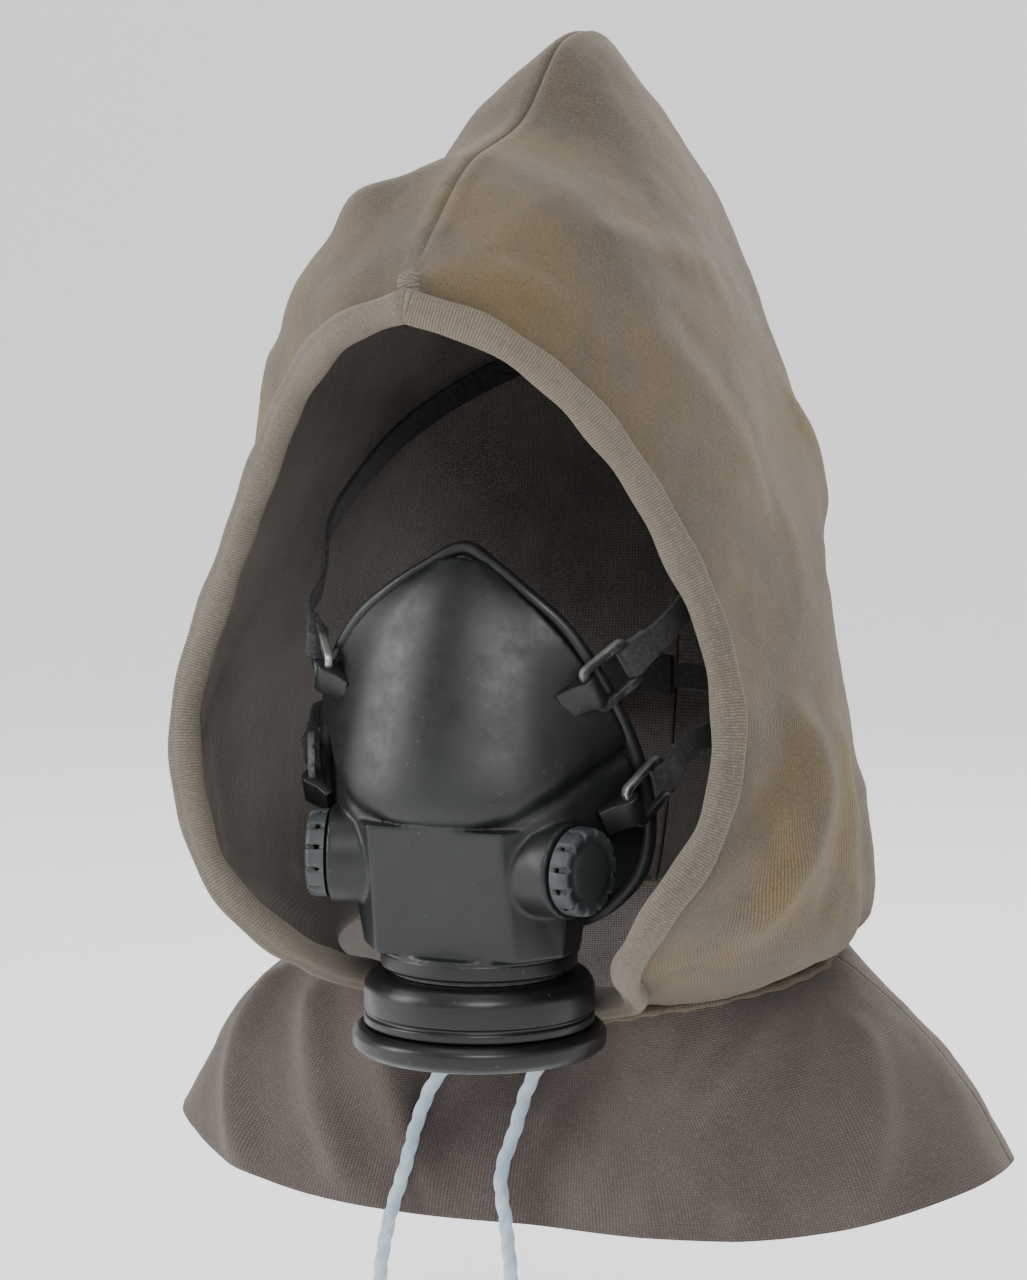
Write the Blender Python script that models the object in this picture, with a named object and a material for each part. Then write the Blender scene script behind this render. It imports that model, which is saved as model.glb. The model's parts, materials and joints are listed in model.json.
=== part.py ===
"""Hood with a rubber half mask: every sub-part is its own closed solid.

The wearer faces -Y and +X is the wearer's left. The origin is the middle of the head at
eye height. Lengths are in millimetres; MM turns them into metres when a mesh is made.
"""
import math

import bmesh
import bpy
import numpy as np
from mathutils import Matrix, Vector

MM = 0.001
SIDE_NAMES = {1: "right", -1: "left"}
GAP = 0.3

# Cloth
CLOTH = 2.5
HEM_RADIUS = 5.0
HEM_SIDES = 8
SEAM_RADIUS = 1.8
SEAM_SIDES = 6
PANEL_ROWS = 17
PANEL_COLUMNS = 15
BIB_COLUMNS = PANEL_COLUMNS
PANEL_CLEARANCE = 1.3
BIB_ROWS = 7
BIB_SIDE_GAP = 1.4

# Canister and neck, all turned about one upright axis
CANISTER_Y = -85.0
NECK_TOP = -131.6
NECK_RADIUS = 33.0
NECK_BORE = 17.0
SPIGOT_RADIUS = 20.0
DRUM_TOP = -140.0
DRUM_BOTTOM = -157.6
DRUM_RADIUS = 39.0
CAP_TOP = -158.0
CAP_BOTTOM = -167.0
CAP_RADIUS = 43.0
INLET_HOLES = 8
TURN_SEGMENTS = 28

# Facepiece
SHELL_WALL = 3.0
SEAL_RADIUS = 2.6
SEAL_GAP = 3.4
MASK_CLEARANCE = 0.5
DUCT_Y = -101.0
DUCT_RADIUS = 11.0

# Exhalation valves
VALVE_FACE = Vector((51.0, -111.0, -99.0))
VALVE_LEAN = math.radians(16.0)
BOSS_RADIUS = 16.3
COVER_RADIUS = 14.75
COVER_NOTCH = 0.93
VALVE_SEGMENTS = 24

# Buckles and straps
BUCKLE_LENGTH = 21.0
BUCKLE_WIDTH = 17.5
BUCKLE_BAR = 3.0
BUCKLE_THICK = 2.6
BAR_REACH = (BUCKLE_LENGTH - BUCKLE_BAR) / 2
WRAP_LENGTH = 9.0
WRAP_WIDTH = 10.2
WRAP_OUTER = 3.7
WRAP_BORE = 2.1
LUG_DIP = math.radians(32)
STRAP_WIDTH = 9.0
STRAP_THICK = 1.8
STRAP_GAP = 1.7

# Each buckle: its middle, the way its strap leaves, and the way its face looks
BUCKLES = {
    "upper": (Vector((52, -97.3, -35.4)), Vector((0.50, 0.675, 0.54)), Vector((0.80, -0.59, -0.01))),
    "lower": (Vector((60.6, -85.4, -75)), Vector((0.35, 0.75, 0.56)), Vector((0.93, -0.37, -0.09))),
}
STRAP_ROUTES = {
    "upper": [(67, -63, -14), (74, -42, 1), (74, -10, 18), (69, 18, 32), (54, 44, 46),
              (38, 66, 55), (20.5, 83.5, 60)],
    "lower": [(69.5, -50, -61), (73, -20, -60), (70, 15, -60), (58, 42, -60), (36, 60, -60),
              (14.5, 67.5, -60)],
}

# Drawstrings
CORD_RADIUS = 2.5
CORD_ROUTES = {
    "left": [(-12, -33.2, -171.2), (-17, -36.5, -175.5), (-27, -39, -182), (-35, -40, -191),
             (-41, -41.5, -205), (-45, -44, -222), (-49.5, -47.5, -240), (-52, -50, -258),
             (-51, -51.5, -285), (-49, -52, -312), (-49, -52, -334)],
    "right": [(12, -33.2, -171.2), (10.5, -36.5, -175.5), (4, -38, -182), (-1, -38.8, -192),
              (-5, -40, -206), (-9, -43.4, -222), (-5.5, -47.2, -240), (-2.5, -50, -258),
              (-2, -51.5, -285), (-3, -52, -312), (-4, -52, -336)],
}

# Hood rails, brow to neck: hem middle, two points on the side, and the centre seam
HEM_RAIL = [(0, -145.5, 87), (26, -138, 78), (48, -124, 58.5), (65, -112, 33), (79, -105, 5),
            (90, -103, -21), (97, -109, -52), (93, -115, -82), (78, -123, -109),
            (61, -107, -132), (47.5, -66, -150.5), (0, -24, -165)]
FRONT_RAIL = [(3, -142, 93), (29, -130, 92), (57, -106, 86), (73, -84, 68), (85, -65, 42),
              (92, -55, 12), (102, -62, -28), (106, -72, -58), (107, -88, -86),
              (108, -70, -113), (103, -48, -137), (65, -35.5, -156)]
BACK_RAIL = [(2, -141, 95), (16, -126, 105), (36, -98, 119), (52, -64, 112), (59, -28, 106),
             (50, 20, 104), (63, 38, 62), (76, 36, 6), (86, 34, -52), (93, 34, -95),
             (91, 38, -126), (87, 38, -146)]
CREST_RAIL = [(0, -140, 96), (0, -121, 113), (0, -93, 131.5), (0, -47, 144), (0, -7, 171),
              (0, 39, 165), (0, 88, 108), (0, 109, 28), (0, 112, -50), (0, 104, -103),
              (0, 96, -127), (0, 90, -141)]
CREST_TURN = [3, 14, 26, 26, 20, 22, 70, 110, 125, 130, 125, 120]
THROAT_EDGE = Vector((GAP, -17, -172))
NECK_FRONT = [(0, -17, -172), (24, -28.5, -166.5), (45, -36.5, -160.5)]

# Bib rails, front to back on the right half
BIB_MIDDLE = [(0, -30, -200), (30, -33, -200), (62, -38, -196), (95, -32, -184),
              (122, -8, -176), (127, 16, -174), (112, 52, -180), (62, 84, -192), (0, 97, -196)]
BIB_HEM = [(0, -40, -240), (46, -41.5, -240), (92, -40.5, -236), (128, -28, -228),
           (152, -4, -220), (156, 24, -218), (138, 62, -224), (82, 94, -234), (0, 104, -239)]

# Facepiece rails, nose to chin: middle, bulge and edge
MASK_MIDDLE = [(0, -100.5, 0), (0, -108, -10), (0, -115, -25), (0, -122, -50),
               (0, -127.5, -78), (0, -118, -92), (0, -103, -108), (0, -91, -119),
               (0, -80, -124)]
MASK_BULGE = [(4, -100.5, -0.5), (13, -106, -11), (20, -111, -27), (27, -115, -52),
              (30, -119, -80), (32, -110, -94), (28, -98, -108), (23, -86, -117),
              (11, -78, -122.5)]
MASK_EDGE = [(0, -97, 4), (12, -99, -2), (24, -101, -10), (36, -100, -20), (44, -98, -31),
             (51.5, -91, -48), (56, -84, -65), (58, -78, -84), (53, -74, -106),
             (40, -73, -119), (20, -72, -126), (0, -71, -127.5)]
MASK_SIDE = [(8, -99.5, -2.5), (23, -102, -12), (38, -100.5, -26), (50, -91.5, -49),
             (56.5, -80, -79), (56, -77.5, -94), (49, -75, -109), (37, -74.5, -117.5),
             (18, -74, -123)]
MASK_ROWS = 15
MASK_COLUMNS = 21

# Front housing: outlines of its top and its foot on the right half
HOUSING_TOP = -86.0
HOUSING_FOOT = -131.3
HOUSING_TOP_HALF = [(24, -126), (43, -104), (45, -84)]
HOUSING_FOOT_HALF = [(25.2, -115), (36, -100), (37, -86)]


def clear_scene():
    for thing in list(bpy.data.objects):
        bpy.data.objects.remove(thing, do_unlink=True)


def material(name, colour, roughness, metallic=0.0):
    made = bpy.data.materials.new(name)
    made.use_nodes = True
    shader = made.node_tree.nodes["Principled BSDF"]
    shader.inputs["Base Color"].default_value = (*colour, 1.0)
    shader.inputs["Roughness"].default_value = roughness
    shader.inputs["Metallic"].default_value = metallic
    return made


def mirrored(point):
    return Vector((-point[0], point[1], point[2]))


def sided(point, side):
    return Vector((point[0] * side, point[1], point[2]))


# ---------------------------------------------------------------- curves through points

def hermite(a, b, slope_a, slope_b, length, t):
    """A cubic between a and b; slopes are per unit of length."""
    t2, t3 = t * t, t * t * t
    start = a * (2 * t3 - 3 * t2 + 1) + slope_a * (length * (t3 - 2 * t2 + t))
    return start + b * (3 * t2 - 2 * t3) + slope_b * (length * (t3 - t2))


def smooth_slopes(points, lengths, closed):
    count = len(points)
    slopes = []
    for i, point in enumerate(points):
        before = (point - points[i - 1]) / lengths[i - 1] if i or closed else None
        after = (points[(i + 1) % count] - point) / lengths[i] if i < count - 1 or closed else None
        if before is None or after is None:
            slopes.append(after if before is None else before)
        else:
            ahead, behind = lengths[i], lengths[i - 1]
            slopes.append((before * ahead + after * behind) / (ahead + behind))
    return slopes


def smooth_path(points, steps=12, closed=False, last_slope=None):
    """Many points on a smooth curve through the given ones."""
    points = [Vector(p) for p in points]
    count = len(points)
    spans = count if closed else count - 1
    lengths = [max((points[(i + 1) % count] - points[i]).length, 1e-6) for i in range(count)]
    slopes = smooth_slopes(points, lengths, closed)
    if last_slope is not None:
        slopes[-1] = last_slope / lengths[count - 2]
    path = []
    for i in range(spans):
        j = (i + 1) % count
        for step in range(steps):
            t = step / steps
            path.append(hermite(points[i], points[j], slopes[i], slopes[j], lengths[i], t))
    if not closed:
        path.append(points[-1].copy())
    return path


def path_length(path):
    return sum((b - a).length for a, b in zip(path, path[1:]))


def evenly(path, count, trim_start=0.0, trim_end=0.0):
    """Points at equal steps along a path, leaving out a length at each end."""
    steps = [0.0]
    for a, b in zip(path, path[1:]):
        steps.append(steps[-1] + (b - a).length)
    wanted = np.linspace(trim_start, steps[-1] - trim_end, count)
    coords = [np.interp(wanted, steps, [p[axis] for p in path]) for axis in range(3)]
    return [Vector(p) for p in zip(*coords)]


def rail_at(rail, position):
    """A point on a smooth rail; position counts keys from 0."""
    keys = [Vector(p) for p in rail]
    i = min(int(position), len(keys) - 2)
    t = position - i
    before = keys[i - 1] if i else keys[0] * 2 - keys[1]
    after = keys[i + 2] if i + 2 < len(keys) else keys[-1] * 2 - keys[-2]
    slope_a = (keys[i + 1] - before) / 2
    slope_b = (after - keys[i]) / 2
    return hermite(keys[i], keys[i + 1], slope_a, slope_b, 1.0, t)


# ---------------------------------------------------------------- meshes

def add_object(name, verts, faces, look, origin=(0, 0, 0), smooth=True):
    """A mesh object from millimetre points, with its origin at the given point."""
    origin = Vector(origin)
    mesh = bpy.data.meshes.new(name)
    mesh.from_pydata([(Vector(v) - origin) * MM for v in verts], [], faces)
    work = bmesh.new()
    work.from_mesh(mesh)
    bmesh.ops.recalc_face_normals(work, faces=work.faces)
    work.to_mesh(mesh)
    work.free()
    if smooth:
        mesh.shade_smooth()
        mesh.set_sharp_from_angle(angle=math.radians(35))
    made = bpy.data.objects.new(name, mesh)
    made.location = origin * MM
    made.data.materials.append(look)
    bpy.context.scene.collection.objects.link(made)
    return made


def grid_normals(grid):
    rows, columns = len(grid), len(grid[0])
    normals = []
    for r in range(rows):
        line = []
        for c in range(columns):
            down = grid[min(r + 1, rows - 1)][c] - grid[max(r - 1, 0)][c]
            along = grid[r][min(c + 1, columns - 1)] - grid[r][max(c - 1, 0)]
            line.append(down.cross(along).normalized())
        normals.append(line)
    return normals


def shell_faces(rows, columns):
    """Faces of a closed shell: an outer grid, an inner grid and the rim between them."""
    inner = rows * columns
    faces = []
    for r in range(rows - 1):
        for c in range(columns - 1):
            a = r * columns + c
            quad = (a, a + 1, a + columns + 1, a + columns)
            faces.append(quad)
            faces.append(tuple(inner + v for v in reversed(quad)))
    rim = [c for c in range(columns)]
    rim += [r * columns + columns - 1 for r in range(1, rows)]
    rim += [(rows - 1) * columns + c for c in range(columns - 2, -1, -1)]
    rim += [r * columns for r in range(rows - 2, 0, -1)]
    for a, b in zip(rim, rim[1:] + rim[:1]):
        faces.append((a, inner + a, inner + b, b))
    return faces


def add_shell(name, outer, inner, look):
    rows, columns = len(outer), len(outer[0])
    verts = [p for row in outer for p in row] + [p for row in inner for p in row]
    return add_object(name, verts, shell_faces(rows, columns), look)


def add_ring_tube(name, path, radius, sides, look):
    """A closed loop of round tube along a closed path."""
    count = len(path)
    verts = []
    centre = sum(path, Vector()) / count
    for i, point in enumerate(path):
        along = (path[(i + 1) % count] - path[i - 1]).normalized()
        outward = point - centre
        outward = (outward - along * outward.dot(along)).normalized()
        across = along.cross(outward)
        for s in range(sides):
            turn = 2 * math.pi * s / sides
            verts.append(point + (outward * math.cos(turn) + across * math.sin(turn)) * radius)
    faces = []
    for i in range(count):
        j = (i + 1) % count
        for s in range(sides):
            t = (s + 1) % sides
            faces.append((i * sides + s, i * sides + t, j * sides + t, j * sides + s))
    return add_object(name, verts, faces, look)


def axis_frame(origin, axis):
    """Rotation that takes +Z to the axis, placed at the origin."""
    turn = Vector((0, 0, 1)).rotation_difference(Vector(axis).normalized())
    return Matrix.Translation(Vector(origin)) @ turn.to_matrix().to_4x4()


def add_turned(name, profile, origin, axis, look, segments=TURN_SEGMENTS, notch=None):
    """A turned body. Profile is a closed outline of (radius, height); a radius of 0 is a tip."""
    place = axis_frame(origin, axis)
    verts, rings = [], []
    for radius, height, *mark in profile:
        if radius == 0:
            rings.append([len(verts)])
            verts.append(place @ Vector((0, 0, height)))
            continue
        ring = []
        for s in range(segments):
            turn = 2 * math.pi * s / segments
            reach = radius * notch if notch and mark and s % 2 else radius
            ring.append(len(verts))
            verts.append(place @ Vector((reach * math.cos(turn), reach * math.sin(turn), height)))
        rings.append(ring)
    faces = []
    for a, b in zip(rings, rings[1:] + rings[:1]):
        if len(a) == 1 and len(b) == 1:
            continue
        for s in range(segments):
            t = (s + 1) % segments
            corners = [a[s % len(a)], a[t % len(a)], b[t % len(b)], b[s % len(b)]]
            faces.append(tuple(dict.fromkeys(corners)))
    return add_object(name, verts, faces, look, origin)


def cut(target, cutter):
    cutter.hide_render = True
    cutter.display_type = "WIRE"
    modifier = target.modifiers.new("cut_" + cutter.name, "BOOLEAN")
    modifier.operation = "DIFFERENCE"
    modifier.solver = "EXACT"
    modifier.object = cutter


def add_cutter_rod(name, start, axis, radius, length, segments=16):
    profile = [(0, length), (radius, length), (radius, 0), (0, 0)]
    rod = add_turned(name, profile, start, axis, LOOKS["rubber"], segments)
    rod.hide_render = True
    rod.display_type = "WIRE"
    return rod


# ---------------------------------------------------------------- cloth

def beside(line, i, target, distance):
    """A point at a distance square to a line of points, on the side of the target."""
    along = (line[min(i + 1, len(line) - 1)] - line[max(i - 1, 0)]).normalized()
    away = target - line[i]
    return line[i] + (away - along * away.dot(along)).normalized() * distance


def hem_edge_rail():
    """Where the panels start, just outside the rolled hem."""
    hem = [Vector(p) for p in HEM_RAIL]
    edge = [beside(hem, i, Vector(front), HEM_RADIUS + PANEL_CLEARANCE)
            for i, front in enumerate(FRONT_RAIL)]
    edge[0].x = GAP
    edge[-1] = THROAT_EDGE
    return edge


def hood_row(edge_rail, position, columns):
    """One line of the hood from the hem round the side to the centre seam."""
    crest = rail_at(CREST_RAIL, position)
    points = [rail_at(edge_rail, position), rail_at(FRONT_RAIL, position),
              rail_at(BACK_RAIL, position), crest]
    turn = float(np.interp(position, range(len(CREST_TURN)), CREST_TURN))
    path = smooth_path(points, last_slope=Vector((-turn, 0, 0)))
    return evenly(path, columns)


def hood_grid():
    edge_rail = hem_edge_rail()
    last = len(CREST_RAIL) - 1
    grid = [hood_row(edge_rail, last * r / (PANEL_ROWS - 1), PANEL_COLUMNS)
            for r in range(PANEL_ROWS)]
    grid[-1] = evenly(smooth_path(neck_half()), PANEL_COLUMNS)
    clearance = SEAM_RADIUS + PANEL_CLEARANCE
    seam = grid[-1]
    grid[-1] = [beside(seam, c, grid[-2][c], clearance) for c in range(PANEL_COLUMNS)]
    return grid


def inset_grid(grid, thickness):
    normals = grid_normals(grid)
    inner = []
    for line, line_normals in zip(grid, normals):
        inner.append([p - n * thickness for p, n in zip(line, line_normals)])
    return inner


def keep_right(grid, least):
    return [[Vector((max(p.x, least), p.y, p.z)) for p in line] for line in grid]


def add_mirror_pair(names, outer, inner, look):
    for name, side in names:
        add_shell(name, [[sided(p, side) for p in line] for line in outer],
                  [[sided(p, side) for p in line] for line in inner], look)


def add_hood_panels():
    outer = keep_right(hood_grid(), GAP)
    inner = keep_right(inset_grid(outer, CLOTH), GAP)
    add_mirror_pair([("hood_right_panel", 1), ("hood_left_panel", -1)], outer, inner,
                    LOOKS["cloth"])


def full_loop(half):
    """A right half, front to back, made into a closed loop."""
    half = [Vector(p) for p in half]
    return half + [mirrored(p) for p in reversed(half[1:-1])]


def add_face_hem():
    last = len(HEM_RAIL) - 1
    half = [rail_at(HEM_RAIL, last * r / (PANEL_ROWS - 1)) for r in range(PANEL_ROWS)]
    add_ring_tube("face_hem", full_loop(half), HEM_RADIUS, HEM_SIDES, LOOKS["hem"])


def neck_half():
    """The neck seam on the right half, front to back."""
    back = [Vector(BACK_RAIL[-1]), Vector((54, 74, -143)), Vector(CREST_RAIL[-1])]
    side = [Vector(FRONT_RAIL[-1]), Vector((85, -18, -151.5)), Vector((92.5, 8, -149))]
    return [Vector(p) for p in NECK_FRONT] + side + back


def add_neck_seam():
    half = evenly(smooth_path(neck_half()), 2 * PANEL_COLUMNS - 1)
    add_ring_tube("neck_seam", full_loop(half), SEAM_RADIUS, SEAM_SIDES, LOOKS["hem"])


def bib_grid(first, last):
    """Bib lines from the neck seam down; first and last are shares of the front-to-back way."""
    top = smooth_path(neck_half())
    middle = smooth_path(BIB_MIDDLE)
    bottom = smooth_path(BIB_HEM)
    lines = [evenly(path, 2 * BIB_COLUMNS - 1) for path in (top, middle, bottom)]
    columns = range(first, last + 1)
    grid = []
    for r in range(BIB_ROWS):
        grid.append([])
        for c in columns:
            down = smooth_path([line[c] for line in lines])
            grid[r].append(evenly(down, BIB_ROWS, trim_start=SEAM_RADIUS + PANEL_CLEARANCE)[r])
    return grid


def mirror_columns(grid, shared_first):
    """A right-half grid made whole, with the middle column shared."""
    whole = []
    for line in grid:
        if shared_first:
            whole.append([mirrored(p) for p in reversed(line[1:])] + line)
        else:
            whole.append(line + [mirrored(p) for p in reversed(line[:-1])])
    return whole


def add_bib():
    split = BIB_COLUMNS - 1
    front = mirror_columns(bib_grid(0, split), True)
    back = mirror_columns(bib_grid(split, 2 * split), False)
    for line in back:
        line[0] = line[0] + (line[1] - line[0]).normalized() * BIB_SIDE_GAP
        line[-1] = line[-1] + (line[-2] - line[-1]).normalized() * BIB_SIDE_GAP
    for name, outer in (("bib_front", front), ("bib_back", back)):
        inner = inset_grid(outer, CLOTH)
        add_shell(name, outer, inner, LOOKS["cloth"])


def cord_path(side):
    return smooth_path(CORD_ROUTES[side])


def add_drawstring(side):
    path = cord_path(side)
    count = int(path_length(path) / (2.5 * 2 * CORD_RADIUS)) + 1
    curve = bpy.data.curves.new("drawstring_" + side, "CURVE")
    curve.dimensions = "3D"
    curve.bevel_depth = CORD_RADIUS * MM
    curve.bevel_resolution = 2
    curve.render_resolution_u = 0
    curve.use_fill_caps = True
    spline = curve.splines.new("POLY")
    spline.points.add(count - 1)
    for slot, point in zip(spline.points, evenly(path, count)):
        slot.co = (*(point * MM), 1.0)
    cord = bpy.data.objects.new("drawstring_" + side, curve)
    curve.materials.append(LOOKS["cord"])
    bpy.context.scene.collection.objects.link(cord)


def add_knot(side):
    path = cord_path(side)
    along = (path[-1] - path[-2]).normalized()
    half = 5.0
    profile = []
    for s in range(9):
        turn = math.pi * s / 8
        radius = half * math.sin(turn) if 0 < s < 8 else 0
        profile.append((radius, half * 1.2 * math.cos(turn)))
    middle = path[-1] + along * (half * 1.2 + GAP)
    add_turned("drawstring_knot_" + side, profile, middle, along, LOOKS["cord"], 12)


def add_eyelet(side):
    start, after = cord_path(side)[:2]
    axis = (after - start).normalized()
    rim = [(5.0, 0.5), (5.0, -0.5), (3.3, -0.5), (3.3, 0.5)]
    add_turned("eyelet_" + side, rim, start + axis * 0.5, axis, LOOKS["steel"], 16)


# ---------------------------------------------------------------- facepiece

def mask_grid():
    last = len(MASK_MIDDLE) - 1
    grid = []
    for r in range(MASK_ROWS):
        position = last * r / (MASK_ROWS - 1)
        middle, bulge, edge = (rail_at(rail, position)
                               for rail in (MASK_MIDDLE, MASK_BULGE, MASK_SIDE))
        points = [mirrored(edge), mirrored(bulge), middle, bulge, edge]
        grid.append(evenly(smooth_path(points), MASK_COLUMNS, SEAL_GAP / 2, SEAL_GAP / 2))
    return grid


def add_facepiece_shell():
    outer = mask_grid()
    shell = add_shell("facepiece_shell", outer, inset_grid(outer, SHELL_WALL), LOOKS["rubber"])
    port = add_cutter_rod("inhale_port", (0, -140, -106), (0, 1, 0), DUCT_RADIUS - 1, 60)
    cut(shell, port)
    for side in (1, -1):
        vent = add_cutter_rod("exhale_port_" + SIDE_NAMES[side], valve_point(side, -45),
                              valve_axis(side), 6.7, 40)
        cut(shell, vent)
    return outer


def add_mask_body_cutter(outer):
    """The space that the facepiece fills, a little larger, to trim what sits on it."""
    near = inset_grid(outer, -MASK_CLEARANCE)
    far = [[Vector((p.x, -40.0, p.z)) for p in line] for line in near]
    body = add_shell("facepiece_space", near, far, LOOKS["rubber"])
    body.hide_render = True
    body.display_type = "WIRE"
    return body


def add_face_seal():
    loop = full_loop(MASK_EDGE)
    add_ring_tube("face_seal", smooth_path(loop, steps=2, closed=True), SEAL_RADIUS, 8,
                  LOOKS["rubber"])


def add_front_housing(space):
    def outline(half, height):
        right = [Vector((x, y, height)) for x, y in half]
        return [mirrored(p) for p in reversed(right)] + right

    top = outline(HOUSING_TOP_HALF, HOUSING_TOP)
    foot = outline(HOUSING_FOOT_HALF, HOUSING_FOOT)
    count = len(top)
    faces = [tuple(range(count)), tuple(range(count, 2 * count))]
    for i in range(count):
        j = (i + 1) % count
        faces.append((i, j, count + j, count + i))
    housing = add_object("front_housing", top + foot, faces, LOOKS["rubber"], smooth=False)
    duct = add_cutter_rod("duct_space", (0, DUCT_Y, -140), (0, 0, 1), DUCT_RADIUS, 43)
    cut(housing, duct)
    for side in (1, -1):
        seat = add_cutter_rod("boss_space_" + SIDE_NAMES[side], valve_point(side, -16.4),
                              valve_axis(side), BOSS_RADIUS + 0.4, 30, VALVE_SEGMENTS)
        cut(housing, seat)
    cut(housing, space)


def add_neck():
    profile = [(NECK_RADIUS - 1, NECK_TOP), (NECK_RADIUS, NECK_TOP - 1.5), (NECK_RADIUS, -137),
               (NECK_RADIUS - 1, -138.2), (NECK_BORE, -138.2), (NECK_BORE, NECK_TOP)]
    add_turned("housing_neck", profile, (0, CANISTER_Y, 0), (0, 0, 1), LOOKS["rubber"])
    spigot = [(SPIGOT_RADIUS, -138.2 - GAP), (SPIGOT_RADIUS, -147), (NECK_BORE, -147),
              (NECK_BORE, -138.2 - GAP)]
    add_turned("neck_spigot", spigot, (0, CANISTER_Y, 0), (0, 0, 1), LOOKS["rubber"])


def add_inhale_valve():
    place = (0, DUCT_Y, 0)
    ring = [(10.6, -121.5), (10.6, -124), (6.5, -124), (6.5, -121.5)]
    add_turned("inhale_valve_seat", ring, place, (0, 0, 1), LOOKS["plastic"], 20)
    disc = [(0, -120.2), (8.8, -120.2), (8.8, -121.2), (0, -121.2)]
    add_turned("inhale_valve_disc", disc, place, (0, 0, 1), LOOKS["valve"], 20)


def add_canister():
    place = (0, CANISTER_Y, 0)
    drum = [(34, DRUM_TOP), (37, -141), (38.6, -143), (DRUM_RADIUS, -146),
            (DRUM_RADIUS, DRUM_BOTTOM), (36.5, DRUM_BOTTOM), (36.5, -148.8),
            (SPIGOT_RADIUS + 0.6, -148.8), (SPIGOT_RADIUS + 0.6, DRUM_TOP)]
    add_turned("canister_drum", drum, place, (0, 0, 1), LOOKS["canister"])
    gasket = [(30, -138.5), (30, -139.7), (21, -139.7), (21, -138.5)]
    add_turned("neck_gasket", gasket, place, (0, 0, 1), LOOKS["valve"])
    pad = [(0, -149.2), (36, -149.2), (36, -152.4), (0, -152.4)]
    add_turned("particle_filter", pad, place, (0, 0, 1), LOOKS["filter"], 24)
    bed = [(0, -152.8), (36, -152.8), (36, -157.4), (0, -157.4)]
    add_turned("carbon_bed", bed, place, (0, 0, 1), LOOKS["carbon"], 24)
    cap = [(40.8, CAP_TOP), (42.4, -159), (CAP_RADIUS, -161), (CAP_RADIUS, -164),
           (42.4, -166), (40.8, CAP_BOTTOM), (0, CAP_BOTTOM), (0, -164.5), (35, -164.5),
           (35, CAP_TOP)]
    lid = add_turned("canister_cap", cap, place, (0, 0, 1), LOOKS["canister"])
    for hole in range(INLET_HOLES):
        turn = 2 * math.pi * hole / INLET_HOLES
        start = (23 * math.cos(turn), CANISTER_Y + 23 * math.sin(turn), -170)
        cut(lid, add_cutter_rod("inlet_%d" % hole, start, (0, 0, 1), 4.5, 8, 10))


# ---------------------------------------------------------------- exhalation valves

def valve_axis(side):
    return Vector((side * math.cos(VALVE_LEAN), -math.sin(VALVE_LEAN), 0))


def valve_point(side, depth):
    return sided(VALVE_FACE, side) + valve_axis(side) * depth


def add_exhale_valve(side, space):
    name = SIDE_NAMES[side]
    axis, face = valve_axis(side), valve_point(side, 0)
    boss = [(BOSS_RADIUS - 1, -7.3), (BOSS_RADIUS, -8.3), (BOSS_RADIUS, -16), (8, -16),
            (8, -11), (11.5, -11), (11.5, -7.3)]
    cut(add_turned("valve_boss_" + name, boss, face, axis, LOOKS["rubber"], VALVE_SEGMENTS),
        space)
    disc = [(0, -9.4), (10, -9.4), (10, -10.6), (0, -10.6)]
    add_turned("exhale_disc_" + name, disc, face, axis, LOOKS["valve"], VALVE_SEGMENTS)
    cover = [(0, 0), (11.5, 0), (13.2, -0.6, "notched"), (COVER_RADIUS, -1.8, "notched"),
             (COVER_RADIUS, -7), (11.8, -7), (11.8, -2.4), (0, -2.4)]
    add_turned("valve_cover_" + name, cover, face, axis, LOOKS["cover"], VALVE_SEGMENTS,
               COVER_NOTCH)


# ---------------------------------------------------------------- buckles and straps

def buckle_frame(height, side):
    """Middle, strap direction, across direction and outward direction of one buckle."""
    middle, along, out = BUCKLES[height]
    along = sided(along, side).normalized()
    out = sided(out, side)
    out = (out - along * out.dot(along)).normalized()
    return sided(middle, side), along, along.cross(out), out


def rounded_rectangle(length, width, radius, steps=3):
    corners = [(1, 1, 0), (-1, 1, 90), (-1, -1, 180), (1, -1, 270)]
    outline = []
    for sx, sy, start in corners:
        for step in range(steps + 1):
            turn = math.radians(start + 90 * step / steps)
            outline.append((sx * (length / 2 - radius) + radius * math.cos(turn),
                            sy * (width / 2 - radius) + radius * math.sin(turn)))
    return outline


def add_buckle(height, side):
    middle, along, across, out = buckle_frame(height, side)
    pivot = middle - along * BAR_REACH
    outer = rounded_rectangle(BUCKLE_LENGTH, BUCKLE_WIDTH, 3.2)
    inner = rounded_rectangle(BUCKLE_LENGTH - 2 * BUCKLE_BAR, BUCKLE_WIDTH - 2 * BUCKLE_BAR, 1.2)
    half = BUCKLE_THICK / 2
    verts = []
    for loop, level in ((outer, half), (inner, half), (inner, -half), (outer, -half)):
        verts += [middle + along * u + across * v + out * level for u, v in loop]
    count = len(outer)
    faces = []
    for ring in range(4):
        for i in range(count):
            j = (i + 1) % count
            a, b = ring * count, (ring + 1) % 4 * count
            faces.append((a + i, a + j, b + j, b + i))
    name = "buckle_%s_%s" % (height, SIDE_NAMES[side])
    add_object(name, verts, faces, LOOKS["buckle"], pivot)


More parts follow.
